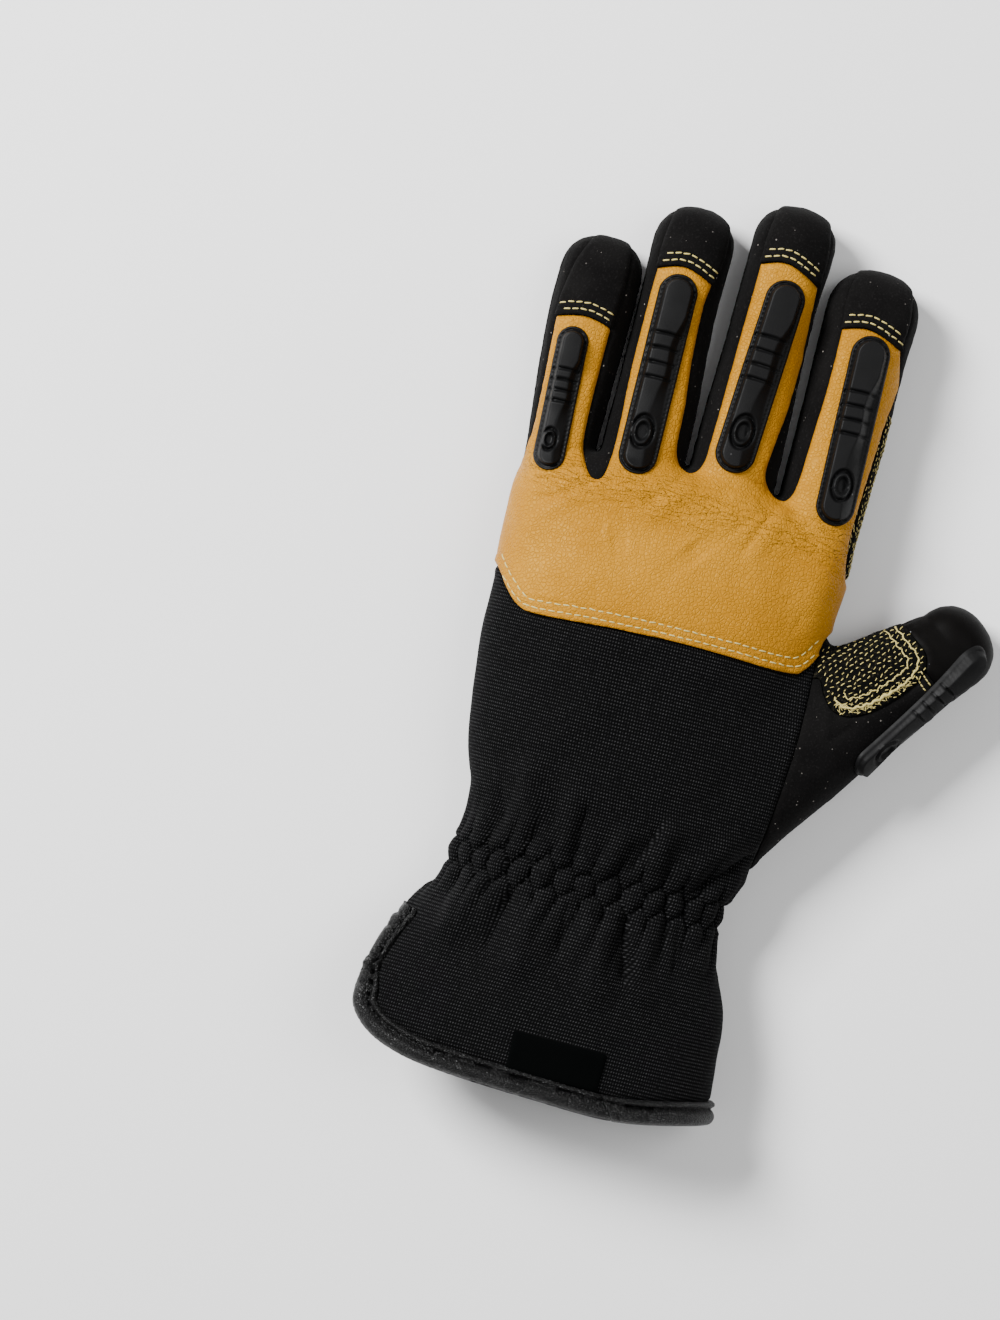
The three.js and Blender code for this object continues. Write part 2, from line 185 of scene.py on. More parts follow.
def tube_distance(x, y, z, tube):
    """How far points are from a tube's skin, below zero inside it."""
    plan = turned(np.stack(np.broadcast_arrays(x, y), -1), -tube["heading"])
    across, along = plan[..., 0], plan[..., 1]
    rows = tube["rows"]
    left, right, top = (along_table(along, rows, column) for column in (1, 2, 3))
    dx = across - (left + right) / 2
    seat = SEAT * top
    dz = z - seat
    above = dz >= 0
    power = np.where(above, BACK_ROUND, PALM_ROUND)
    high = np.where(above, top - seat, seat + PRESS)
    wide = (right - left) / 2
    section = (np.abs(dx / wide) ** power + np.abs(dz / high) ** power) ** (1 / power)
    past = np.maximum(along - rows[-1][0], 0.0)
    q = tube["dome_round"]
    filled = np.maximum((section**q + (past / tube["dome"]) ** q) ** (1 / q), 1e-4)
    reach = np.sqrt(dx * dx + dz * dz + past * past)
    return np.maximum(reach * (1 - 1 / filled), rows[0][0] - along)


print("30 mm above the table, the middle of the hand is", tube_distance(0.0, 0.0, 30.0, HAND).round(1),
      "mm from its skin")

# %% Melt the tubes and press them flat


def melt(a, b, radius):
    """The union of two fields with a soft joint."""
    mix = np.clip(0.5 + 0.5 * (b - a) / radius, 0, 1)
    return b + (a - b) * mix - radius * mix * (1 - mix)


def press(form, z, radius):
    """The form cut off at the table, with a soft corner where it lifts."""
    near = np.clip(1 - np.abs(form + z) / radius, 0, 1)
    return np.maximum(form, -z) + near * near * radius / 4


CROTCH_MELT = 3.5
THUMB_MELT = 9.0
TABLE_MELT = 1.6


def form_distance(x, y, z):
    """The whole soft form, melted together and flattened where it lies on the table."""
    hand = melt(tube_distance(x, y, z, HAND), tube_distance(x, y, z, THUMB), THUMB_MELT)
    fingers = [melt(hand, tube_distance(x, y, z, finger), CROTCH_MELT) for finger in FINGERS.values()]
    return press(np.minimum.reduce([hand, *fingers]), z, TABLE_MELT)


print("inside the root of the fingers:", form_distance(0.0, 30.0, 15.0).round(1), "mm from the skin")

# %% Mesh the form
FORM_LOW = np.array([-64.0, -160.0, -3.0])
FORM_HIGH = np.array([98.0, 131.0, 40.0])


def mesh_form(step, low=FORM_LOW, high=FORM_HIGH):
    """Vertices and triangles of the form's skin between two corners, on a grid of the given step."""
    counts = np.ceil((high - low) / step).astype(int) + 1
    axes = [low[k] + step * np.arange(counts[k]) for k in range(3)]
    field = np.empty(counts, np.float32)
    for start in range(0, counts[1], 40):
        part = slice(start, start + 40)
        slab = (axes[0][:, None, None], axes[1][None, part, None], axes[2][None, None])
        field[:, part] = form_distance(*slab)
    band = 3 * step
    grid = openvdb.FloatGrid(band)
    grid.copyFromArray(np.clip(field, -band, band))
    points, _, quads = grid.convertToPolygons(isovalue=0.0, adaptivity=0.0)
    points = low + step * points.astype(float)
    for _ in range(2):
        distance, slope = form_slope(points)
        points = points - slope * (distance / np.maximum((slope**2).sum(1), 0.25))[:, None]
    quads = quads.astype(int)
    triangles = np.concatenate([quads[:, [0, 1, 2]], quads[:, [0, 2, 3]]])
    return points, triangles


print("the form's own box, in mm:", FORM_LOW.tolist(), FORM_HIGH.tolist())

# %% Slopes, normals and parts of a mesh


def form_slope(points, nudge=0.05):
    """The form's distance and its slope at points."""
    x, y, z = points.T
    distance = form_distance(x, y, z)
    slope = np.stack([
        form_distance(x + nudge, y, z) - distance,
        form_distance(x, y + nudge, z) - distance,
        form_distance(x, y, z + nudge) - distance,
    ], 1) / nudge
    return distance, slope


def vertex_normals(points, triangles):
    """Normals that average the faces round each vertex by their area."""
    a, b, c = (points[triangles[:, k]] for k in range(3))
    face = np.cross(b - a, c - a)
    normals = np.zeros_like(points)
    for k in range(3):
        for axis in range(3):
            normals[:, axis] += np.bincount(triangles[:, k], face[:, axis], len(points))
    return normals / np.maximum(np.linalg.norm(normals, axis=1), 1e-9)[:, None]


def keep_points(points, faces, kept):
    """The part of a mesh whose corners are all kept."""
    used, faces = np.unique(faces[kept[faces].all(1)], return_inverse=True)
    return points[used], faces.reshape(-1, 3)


_, slope_up = form_slope(np.array([[0.0, 0.0, 34.0]]))
print("slope on the back of the hand:", slope_up[0].round(2).tolist())

# %% Three skins, each as fine as what lies on it
FINE_STEP = 0.75  # leather, fingers and thumb
KNIT_STEP = 0.66  # the gathered knit
COARSE_STEP = 1.25  # the palm side
KNIT_LOW = np.array([-76.0, -160.0, 6.0])
KNIT_HIGH = np.array([62.0, 12.0, 40.0])
FINE_FROM = (43, -15, 3)  # the thumb's side, the hand above the wrist, and up from the table
KNIT_FROM_Z = 7.5
COARSE_TO_Z = 12
fine_points, fine_faces = mesh_form(FINE_STEP)
past = fine_points > FINE_FROM
fine_points, fine_faces = keep_points(fine_points, fine_faces, past[:, 2] & (past[:, 0] | past[:, 1]))
knit_points, knit_faces = mesh_form(KNIT_STEP, KNIT_LOW, KNIT_HIGH)
knit_points, knit_faces = keep_points(knit_points, knit_faces, knit_points[:, 2] > KNIT_FROM_Z)
coarse_points, coarse_faces = mesh_form(COARSE_STEP)
coarse_points, coarse_faces = keep_points(coarse_points, coarse_faces, coarse_points[:, 2] < COARSE_TO_Z)
print("skin vertices:", len(fine_points), len(knit_points), len(coarse_points))

# %% [markdown]
# ## Folds, dents and the gathered wrist
#
# Cloth that has been worn and laid down is never smooth. A simulation would find folds of its own,
# but here the photograph says where they lie: a diagonal fold pulls up from the wrist, flutes hang
# below the elastic, and the leather dips between the knuckles. So each fold is a row of a table, a
# short line with a width and a height, and the skin is pushed out or in along its own normal. The
# gathered elastic is rows of small domes, set like bricks, with the drawn-in creases between them.

# %% Fold table and noise
from mathutils import noise

# from x, from y, to x, to y, half width, height: ridges are above 0 and creases below
FOLDS = [
    (17.5, -61, 10.5, -82, 1.6, -1.3), (22, -60, 15.5, -80, 3.6, 1.5), (8, -66, 4, -82, 3.4, 0.9),
    (49, -63, 28, -83, 2.0, -2.2), (47, -70, 32, -84, 2.6, 1.6), (42, -60, 24, -80, 3.4, 1.3),
    (-5.7, -62, -6.2, -82, 2.0, -1.7), (-10, -58, -11, -80, 3.8, 1.5), (-26, -52, -20, -78, 4.6, 1.9),
    (-33, -62, -27, -80, 3.0, -1.0), (-39, -64, -36, -80, 2.6, 1.0), (-15, -62, -13, -80, 2.4, -0.7),
    (12.5, -91, 18.5, -113, 2.2, -2.6), (19.5, -94, 26, -118, 3.6, 1.4), (7, -94, 12, -122, 4.6, 2.2),
    (-12.5, -94, -15, -120, 4.6, 2.0), (-4, -91, -3, -110, 2.6, -1.6), (2, -92, 4, -106, 2.4, 0.6),
    (-20, -92, -25, -114, 2.6, -1.7), (-28, -92, -38, -114, 4.4, 2.1), (-36, -91, -45, -105, 2.2, -1.2),
    (29, -88, 32, -108, 1.9, -1.3), (35, -88, 39, -106, 3.0, 1.1), (25, -84, 25.4, -97, 1.6, -1.0),
    (-44, -2, 40, -3, 16, 0.7), (3, 19, 8, 15, 7.5, -0.9), (-20, 14, -14, 16, 8, -0.5),
    (-1.6, 40.9, -13, 27.3, 1.3, -0.6), (1, 37, -10, 24, 2.6, 0.5), (26.5, 39.5, 18, 18, 1.2, -0.6),
    (30, 38, 22, 19, 2.2, 0.45), (25, 38, 13, 24, 1.2, -0.45), (-28, 30.4, -45.4, 18.6, 1.2, -0.5),
    (-30, 27, -44, 14, 2.4, 0.45), (22.4, 41.7, 9.5, 43, 0.9, -0.6), (24, 38.5, 8, 39.5, 1.0, -0.5),
    (21, 36.5, 10, 36, 1.6, 0.4), (-12, 34, -26, 31, 1.0, -0.45), (-10, 31.5, -28, 27, 1.0, -0.4),
    (-8, 28, -30, 23.5, 1.1, -0.4), (-6, 34.5, -24, 29, 1.4, 0.35), (-48, 29, -34, 28.6, 0.9, -0.4),
    (-49, 25, -36, 26, 1.0, -0.35), (-47, 21, -34, 24, 1.1, -0.3), (31, 33, 48, 26, 1.2, -0.4),
    (34, 30, 50, 20, 1.5, -0.35), (39, 1, 41.5, 9, 1.0, -0.2),
    (0, -30, 34, -48, 7.0, 0.5), (-38, -34, -14, -50, 8.0, 0.6), (12, -20, 40, -28, 6.0, -0.4),
    (58, -28, 66, -18, 2.4, -0.7), (53, -40, 64, -32, 3.0, 0.6), (54, -14, 58, -26, 2.0, 0.6),
]
ELASTIC_Y = -87.0
PUFF_PITCH = 7.2
PUFF_HALF = 3.9
# each row of puffs: its place from the elastic, its shift, its reach to the hand and the hem, its rise
PUFF_ROWS = [(0.0, 0.0, 6.6, 6.6, 3.2), (5.6, 0.5, 15.0, 5.2, 2.3), (-5.6, 0.5, 5.2, 18.0, 2.6)]
puff_random = np.random.default_rng(11).uniform(-1, 1, (3, 64, 4))

print("folds:", len(FOLDS), "rows of puffs:", len(PUFF_ROWS))

# %% How high the folds stand


def soft_noise(points, scale, seed=0.0):
    """Smooth noise from -1 to 1 at each point, with features about as large as scale, in millimetres."""
    shift = Vector((seed * 17.3, seed * 5.1, seed * 9.7))
    return np.array([noise.noise(Vector(point) / scale + shift) for point in points.tolist()])


def line_distance(xy, start, end):
    """How far points of the plan lie from a short line, and how far along it, from 0 to 1."""
    start, end = np.asarray(start, float), np.asarray(end, float)
    run = end - start
    share = np.clip(((xy - start) @ run) / (run @ run), 0, 1)
    return np.linalg.norm(xy - start - share[:, None] * run, axis=1), share


def fold_height(points):
    """What the folds add to the skin at each point, in millimetres along the normal."""
    xy = points[:, :2]
    height = np.zeros(len(points))
    for x0, y0, x1, y1, half, rise in FOLDS:
        distance, share = line_distance(xy, (x0, y0), (x1, y1))
        swell = ease(3.2 * share + 0.2) * ease(3.2 * (1 - share) + 0.2)
        profile = np.exp(-((distance / half) ** 2)) if rise > 0 else np.exp(-1.3 * np.abs(distance / half))
        height += rise * swell * profile
    return height


print("deepest fold:", min(row[5] for row in FOLDS), "highest:", max(row[5] for row in FOLDS), "mm")

# %% Gathered elastic


def round_the_hand(points):
    """How far round the hand each point lies from the middle of its back, in millimetres."""
    left, right, top = (along_table(points[:, 1], HAND["rows"], column) for column in (1, 2, 3))
    aside = points[:, 0] - (left + right) / 2
    return aside + np.sign(aside) * 0.75 * np.maximum(top - points[:, 2], 0) * ease(np.abs(aside) / 12)


def gather_height(points):
    """A row of puffs on the wrist's elastic, and between them the flutes that run out of it."""
    across, y = round_the_hand(points), points[:, 1]
    elastic = ELASTIC_Y + 1.4 * ease((points[:, 0] - 14) / 18)
    domes, lower = np.zeros(len(points)), np.zeros(len(points))
    for number, (row_y, shift, up, down, rise) in enumerate(PUFF_ROWS):
        cell = np.floor(across / PUFF_PITCH - shift).astype(int)
        for step in (-1, 0, 1, 2):
            aside, along, lean, swell = puff_random[number, (cell + step) % 64].T
            du = across - (cell + step + shift) * PUFF_PITCH - 0.8 * aside
            dy = y - elastic - row_y - 0.7 * along
            outward = dy * row_y > 0
            stretch = 0.1 if number == 0 else 0.5 * outward
            reach = np.where(dy > 0, up, down) * (1 + stretch * swell)
            lean = np.clip(0.2 * lean * dy, -1.9, 1.9)
            share = np.clip(np.abs(dy) / reach, 0, 1)
            round_top = 1 - ((du + lean) / PUFF_HALF) ** 2 - np.where(outward, 0, share**2)
            softness = np.where(outward, 0.5 + 1.1 * share, 0.5)
            fade = (1 - share) ** np.where(outward, 1.25, 0.3)
            dome = rise * (1 + 0.15 * swell) * np.maximum(round_top, 0) ** softness * fade
            lower = np.maximum(lower, np.minimum(domes, dome))
            domes = np.maximum(domes, dome)
    close = np.exp(-(((y - ELASTIC_Y) / 8.5) ** 2))
    crease = 1.7 * np.exp(-(domes - lower) / 0.35) * np.clip(lower / 0.5, 0, 1) * close
    return domes - crease - 1.0 * close


puff_line = np.array([(x, ELASTIC_Y, 28.0) for x in range(-36, 37)], float)
print("the gathered line stands", gather_height(puff_line).min().round(1), "to",
      gather_height(puff_line).max().round(1), "mm over the skin")

# %% Skins with their folds


def wander_height(points):
    """The slow unevenness of soft cloth."""
    knit = ease((-8 - points[:, 1]) / 12)
    return (0.25 + 0.35 * knit) * soft_noise(points, 17, 1) + 0.14 * soft_noise(points, 6.5, 2)


def above_table(points):
    """The points, with those that would lie below the table brought up to it."""
    points[:, 2] = np.maximum(points[:, 2], 0)
    return points


def raise_skin(points, faces):
    """The skin with its folds, and its normals. Folds fade where the glove lies on the table."""
    normals = vertex_normals(points, faces)
    upper = ease((points[:, 2] - 2.0) / 9.0)
    height = upper * (fold_height(points) + gather_height(points) + wander_height(points))
    raised = above_table(points + normals * height[:, None])
    return raised, vertex_normals(raised, faces)


fine_skin, fine_normals = raise_skin(fine_points, fine_faces)
knit_skin, knit_normals = raise_skin(knit_points, knit_faces)
coarse_skin, coarse_normals = raise_skin(coarse_points, coarse_faces)
print("highest point:", round(fine_skin[:, 2].max(), 1), "mm")

# %% [markdown]
# ## Sewing lines
#
# A glover cuts flat pieces and sews them edge to edge. On the form the sewing lines are curves seen
# from above, each a few points that a spline runs through. A panel is what lies inside one closed
# outline, so every point of the skin gets its distance to that outline, above 0 inside it. The mesh
# can then be cut exactly where the distance is 0, which a cut by whole faces would leave ragged.

# %% Seam curves, seen from above
SEAMS = dict(
    leather_hem=[(-60, 8), (-50.5, -0.5), (-46, -6.5), (-41, -11.2), (-34, -12.4), (-10, -10.6), (12, -9.8),
                 (40, -10.2), (46, -8), (50, -1.2)],
    little_outer=[(-58, 16), (-52.2, 25), (-50.9, 40), (-51.6, 56), (-52.8, 76), (-52, 90), (-49.5, 98),
                  (-45, 108)],
    little_ring=[(-36.6, 108), (-34.7, 92), (-35.4, 77), (-35.4, 64), (-35, 46), (-33.9, 38.5),
                 (-31.8, 33.4), (-29.4, 31.2), (-27.2, 32), (-26.1, 36.5), (-26.2, 48), (-27.3, 70),
                 (-27.4, 98), (-27.2, 110), (-25, 124)],
    ring_middle=[(-9.5, 124), (-8, 108), (-9.4, 97), (-10.3, 88), (-9.2, 70), (-7.8, 59), (-7.2, 47.5),
                 (-5.4, 42.4), (-2.6, 40.5), (-0.2, 41.6), (1.2, 46), (1.6, 61), (1.8, 78), (2.2, 106),
                 (2.4, 118), (5, 132)],
    middle_index=[(19, 132), (21.6, 115), (21.3, 104), (22.3, 80), (22, 64), (20.4, 47.5), (22.4, 42),
                  (25.6, 39.6), (28.2, 40.6), (29.7, 45.5), (30.4, 61), (31, 76), (30.7, 94), (30, 105),
                  (33, 120)],
    index_outer=[(58, 18), (51.9, 21), (49.9, 34), (50.3, 50), (51.3, 69), (52.2, 82), (49.9, 93),
                 (50.2, 103), (47.5, 120)],
    thumb_root=[(53.5, 7), (50.2, 2.5), (49.3, -3), (49.4, -14), (49.6, -30), (48.6, -52), (47.4, -66),
                (46.8, -74), (48, -86)],
    thumb_patch=[(49.4, -9.4), (51.6, -9.4), (53.6, -13.5), (57.5, -17.4), (62.5, -18), (69, -14.6),
                 (76, -8), (80.6, -1), (80.4, 5.5), (75, 10.6), (66, 18)],
)
CAP_EDGES = dict(
    little=[(-56, 75.6), (-53.6, 76.4), (-44, 78.5), (-34.8, 76.6), (-31, 74.6)],
    ring=[(-31, 96.6), (-28, 97.8), (-19, 100.2), (-8.6, 96.8), (-4, 94)],
    middle=[(-2, 106), (1.7, 107), (10.5, 109), (22, 104.4), (25, 102)],
    index=[(26, 93.4), (30, 94.4), (39, 96.3), (50.4, 92.6), (54, 90.4)],
)
INDEX_STRIP_TOP = 72.5
PALM_SEAM_Z = 9.15
HEM = [(-58, -86), (-54, -97), (-51.2, -105.5), (-53.8, -112), (-56.6, -120), (-58.8, -130), (-58.4, -138),
       (-53, -144), (-44, -148), (-30, -150.3), (0, -151.6), (26, -151.8), (50, -147.6), (60, -146)]
BINDING_WIDTH = 7.4
VENT_WIDTH = 4.6


def spline(points, per_span=6):
    """A smooth curve through points."""
    points = np.asarray(points, float)
    padded = np.concatenate([2 * points[:1] - points[1:2], points, 2 * points[-1:] - points[-2:-1]])
    t = np.linspace(0, 1, per_span, endpoint=False)[:, None]
    spans = []
    for a, b, c, d in zip(padded, padded[1:], padded[2:], padded[3:]):
        spans.append(0.5 * (2 * b + (c - a) * t + (2 * a - 5 * b + 4 * c - d) * t**2
                            + (3 * b - a - 3 * c + d) * t**3))
    return np.concatenate([*spans, points[-1:]])


CURVES = {name: spline(points) for name, points in SEAMS.items()}
CAPS = {name: spline(points) - (0, 1.0) for name, points in CAP_EDGES.items()}



def binding_width(points):
    """How wide the binding is seen from above: it narrows where it turns up the vent."""
    narrow = ease((points[:, 1] + 134) / 10) * ease((-42 - points[:, 0]) / 3)
    width = BINDING_WIDTH + (VENT_WIDTH - BINDING_WIDTH) * narrow
    ended = ease((points[:, 1] + 107) / 2.4)
    return width * (1 - ended) - 5 * ended


print("curves:", len(CURVES), "cap edges:", len(CAPS), "hem points:", len(HEM))

# %% Distance to a closed outline
FAR = 30.0


def outline_distance(xy, outline):
    """How far points of the plan lie inside a closed outline, below 0 outside it."""
    outline = np.asarray(outline, float)
    result = np.full(len(xy), -FAR)
    near = np.all((xy > outline.min(0) - FAR) & (xy < outline.max(0) + FAR), axis=1)
    points = xy[near]
    closest = np.full(len(points), FAR * FAR)
    inside = np.zeros(len(points), bool)
    for start, end in zip(outline, np.roll(outline, -1, axis=0)):
        run = end - start
        if not run.any():
            continue
        share = np.clip(((points - start) @ run) / (run @ run), 0, 1)
        away = points - start - share[:, None] * run
        closest = np.minimum(closest, (away**2).sum(1))
        crosses = (start[1] > points[:, 1]) != (end[1] > points[:, 1])
        rise = run[1] if run[1] else 1.0
        inside ^= crosses & (points[:, 0] < start[0] + (points[:, 1] - start[1]) * run[0] / rise)
    result[near] = np.sqrt(closest) * np.where(inside, 1, -1)
    return result


def lengths_along(path):
    """How far along a path each of its points lies."""
    return np.concatenate([[0], np.cumsum(np.linalg.norm(np.diff(path, axis=0), axis=1))])


def closed_by(curve, *points):
    """A closed outline: a curve, and the points that lead from its end back to its start."""
    return np.concatenate([curve, np.asarray(points, float)])


TOP_OUTLINE = np.concatenate([
    CURVES["leather_hem"],
    [(58, 4)],
    CURVES["index_outer"],
    [(47, 140), (33, 140)],
    CURVES["middle_index"][::-1],
    [(19, 150), (5, 150)],
    CURVES["ring_middle"][::-1],
    [(-9.5, 145), (-25, 145)],
    CURVES["little_ring"][::-1],
    [(-37, 130), (-45, 130)],
    CURVES["little_outer"][::-1],
])
OUTLINES = dict(
    top=TOP_OUTLINE,
    little_outer=closed_by(CURVES["little_outer"], (-70, 120), (-70, 16)),
    little_ring=CURVES["little_ring"],
    ring_middle=CURVES["ring_middle"],
    middle_index=CURVES["middle_index"],
    index_outer=closed_by(CURVES["index_outer"], (66, 125), (66, 18)),
    thumb_side=closed_by(CURVES["thumb_root"], (60, -110), (120, -110), (120, 60), (60, 60)),
    thumb_patch=closed_by(CURVES["thumb_patch"], (55, 24), (40, 12), (44, -9.4)),
    thumb_tip=turned([(63.8, 49), (90, 49), (90, 90), (30, 90), (30, 54), (56, 49)], THUMB_HEADING),
    knit=closed_by(CURVES["leather_hem"], (70, 0), (70, -220), (-120, -220), (-120, 8)),
    hem=closed_by(spline(HEM), (200, -140), (200, 200), (-150, 200), (-150, -84)),
)
for name, edge in CAPS.items():
    OUTLINES["cap_" + name] = closed_by(edge, edge[-1] + (2, 40), edge[0] + (-2, 40))
print("outlines:", {name: len(outline) for name, outline in OUTLINES.items()})

# %% Fields that bound the panels
WRIST_SEAM_Y = -84.0


def fields_of(skin):
    """The distance of each point of the skin into each zone that bounds a panel."""
    xy, z = skin[:, :2], skin[:, 2]
    fields = {name: outline_distance(xy, outline) for name, outline in OUTLINES.items()}
    fields["back"] = z - PALM_SEAM_Z
    fields["strip_low"] = INDEX_STRIP_TOP - xy[:, 1]
    fields["above_wrist"] = xy[:, 1] - WRIST_SEAM_Y
    fields["cuff"] = fields.pop("hem") - binding_width(skin)
    return fields


fine_fields = fields_of(fine_skin)
knit_fields = fields_of(knit_skin)
coarse_fields = fields_of(coarse_skin)

# A panel is inside all of its zones. A minus sign means outside that zone.
PANELS = dict(
    leather_back=["back", "top", "-thumb_side", "-cap_little", "-cap_ring", "-cap_middle", "-cap_index"],
    knit_back=["back", "knit", "-thumb_side", "cuff"],
    palm_panel=["-back", "-thumb_side", "above_wrist"],
    cuff_palm=["-back", "-above_wrist", "cuff"],
    tip_cap_little=["back", "top", "cap_little"],
    tip_cap_ring=["back", "top", "cap_ring"],
    tip_cap_middle=["back", "top", "cap_middle"],
    tip_cap_index=["back", "top", "cap_index"],
    sidewall_little_outer=["back", "little_outer"],
    sidewall_little_ring=["back", "little_ring"],
    sidewall_ring_middle=["back", "ring_middle"],
    sidewall_middle_index=["back", "middle_index"],
    sidewall_index_outer=["back", "index_outer", "-strip_low"],
    aramid_index_strip=["back", "index_outer", "strip_low"],
    aramid_thumb_patch=["back", "thumb_side", "thumb_patch"],
    thumb_back=["back", "thumb_side", "-thumb_patch", "-thumb_tip", "cuff"],
    thumb_tip=["back", "thumb_tip", "-thumb_patch"],
    thumb_palm=["-back", "thumb_side", "above_wrist"],
)

print("panels:", len(PANELS))

# %% Cut a mesh along the zero line of a field
SNAP = 0.06
HALF_GAP = 0.1


def cut(data, faces, field):
    """The part of a mesh where the field is above 0, cut along its zero line. Each column is shared out."""
    field = np.where(np.abs(field) < SNAP, 0.0, field)
    below = field[faces] < 0
    count = below.sum(1)
    kept = [faces[(count == 0) & (field[faces].max(1) > 0)]]
    new_keys, new_faces = [], []
    for number, find in ((1, np.argmax), (2, np.argmin)):
        mixed = faces[count == number]
        first = find(below[count == number], axis=1)
        a, b, c = (mixed[np.arange(len(mixed)), (first + k) % 3] for k in range(3))
        new_faces.append((number, a, b, c))
        new_keys.append((a, b))
        new_keys.append((c, a))
    size = len(field)
    low = np.concatenate([np.minimum(u, v) for u, v in new_keys])
    high = np.concatenate([np.maximum(u, v) for u, v in new_keys])
    pairs, place = np.unique(low * size + high, return_inverse=True)
    u, v = pairs // size, pairs % size
    difference = np.where(field[u] == field[v], 1.0, field[u] - field[v])
    share = np.clip(field[u] / difference, 0, 1)[:, None]
    index = np.arange(len(pairs)) + size
    index = np.where(field[u] == 0, u, np.where(field[v] == 0, v, index))
    crossing = np.split(index[place], np.cumsum([len(k[0]) for k in new_keys])[:-1])
    for (number, a, b, c), ab, ca in zip(new_faces, crossing[0::2], crossing[1::2]):
        if number == 1:
            kept += [np.stack([b, c, ca], 1), np.stack([b, ca, ab], 1)]
        else:
            kept.append(np.stack([a, ab, ca], 1))
    faces = np.concatenate(kept)
    x, y, z = faces.T
    faces = faces[(x != y) & (y != z) & (z != x)]
    used, faces = np.unique(faces, return_inverse=True)
    return np.concatenate([data, data[u] + share * (data[v] - data[u])])[used], faces.reshape(-1, 3)


square = np.array([(0, 0), (1, 0), (1, 1), (0, 1)], float)
halves = cut(square, np.array([(0, 1, 2), (0, 2, 3)]), square[:, 0] - 0.5)
print("a square cut in half has", len(halves[1]), "triangles")

# %% The rim of a cut panel


def rim_edges(faces):
    """The directed edges that only one face uses."""
    edges = np.concatenate([faces[:, [0, 1]], faces[:, [1, 2]], faces[:, [2, 0]]])
    keys = np.sort(edges, axis=1)
    _, place, uses = np.unique(keys[:, 0] * (faces.max() + 1) + keys[:, 1], return_inverse=True,
                               return_counts=True)
    return edges[uses[place] == 1]


print("the half square's rim has", len(rim_edges(halves[1])), "edges")

# %% From a cut panel to a closed shell
LINING = 1.4  # the cloth and its lining below the skin


def rim_distance(points, rim):
    """How far each point is from the panel's rim, and the rim corner nearest to it."""
    tree = KDTree(2 * len(rim))
    for number, (u, v) in enumerate(rim.tolist()):
        tree.insert(points[u], u)
        tree.insert((points[u] + points[v]) / 2, u)
    tree.balance()
    found = [tree.find(point)[1:] for point in points.tolist()]
    return np.array([distance for _, distance in found]), np.array([corner for corner, _ in found])


def close_wall(outer, inner, faces, rim):
    """A closed wall from its outer points, its inner points and the faces that both have."""
    count = len(outer)
    u, v = rim.T
    walls = np.concatenate([np.stack([v, u, u + count], 1), np.stack([v, u + count, v + count], 1)])
    return np.concatenate([outer, inner]), np.concatenate([faces, faces[:, ::-1] + count, walls])


def shell(points, normals, faces, rim, height, depth):
    """A closed wall: the skin raised by height, the same skin sunk by depth, and its rim."""
    return close_wall(points + normals * height[:, None], points - normals * depth, faces, rim)


print("lining:", LINING, "mm")

# %% From points to a piece that rides on the frame
SHARP_ANGLE = math.radians(52)


def make_mesh(name, points, faces):
    """A Blender mesh of triangles, smooth, from points in millimetres."""
    mesh = bpy.data.meshes.new(name)
    mesh.vertices.add(len(points))
    mesh.loops.add(3 * len(faces))
    mesh.polygons.add(len(faces))
    mesh.vertices.foreach_set("co", to_frame(points).ravel())
    mesh.loops.foreach_set("vertex_index", faces.ravel())
    mesh.polygons.foreach_set("loop_start", np.arange(0, 3 * len(faces), 3))
    mesh.polygons.foreach_set("use_smooth", np.ones(len(faces), bool))
    mesh.update(calc_edges=True)
    mesh.validate()
    mesh.set_sharp_from_angle(angle=SHARP_ANGLE)
    return mesh


def make_piece(name, points, faces, slot, node=None):
    """A piece of the glove, riding on the frame's root."""
    obj = bpy.data.objects.new("visual_" + name, make_mesh(name, points, faces))
    bpy.context.scene.collection.objects.link(obj)
    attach(obj, "root")
    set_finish(obj, slot)
    if node:
        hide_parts(node)
    return obj


print("edges are sharp above", round(math.degrees(SHARP_ANGLE)), "degrees")

# %% [markdown]
# ## Panels
#
# Each panel is a wall with two faces and a rim. A seam that is sewn inside out turns the edge down
# into a groove, so the skin sinks over the last 2 mm. An edge that is lapped over its neighbour, as
# the leather's hem and the fingertip caps are, stays up and shows its cut. The cloth also puckers a
# little beside every seam, where the thread draws it in.

# %% Height of each panel above the skin
TURN_DEPTH = 0.9
TURN_REACH = 1.9
SOFT_TURN_DEPTH = 0.55  # between two pieces of suede
TUCKED = {"-back": 1.0, "cuff": 0.4}  # how far a panel runs on under the back's edge and the binding
CUT_DEPTH = 0.35
CUT_REACH = 0.5
PUCKER = dict(rise=0.22, size=2.6, middle=1.4, reach=1.6)  # beside a seam
LAPPED = dict(
    leather_back={"top"},
    tip_cap_little={"cap_little"},
    tip_cap_ring={"cap_ring"},
    tip_cap_middle={"cap_middle"},
    tip_cap_index={"cap_index"},
    aramid_thumb_patch={"thumb_patch"},
)
SLOTS = dict(
    leather_back="tan_leather", knit_back="stretch_knit", cuff_palm="stretch_knit",
    aramid_index_strip="aramid_knit", aramid_thumb_patch="aramid_knit", thumb_tip="smooth_cloth",
)
HEM_ROWS = [
    [(-50, 2.5), (-46, -2.4), (-40, -7.8), (-35, -8.4), (-20, -7), (0, -6), (20, -5.6), (38, -5.6),
     (43.4, -4.4), (48.6, 2.5)],
    [(-50.4, -1), (-46.4, -5.2), (-41.5, -9.6), (-36, -10.7), (-20, -9.4), (0, -8.4), (20, -8), (39, -8.1),
     (45, -6.6), (49, -1)],
]
CAP_ROWS = (1.8, 3.9)  # above the cap's edge
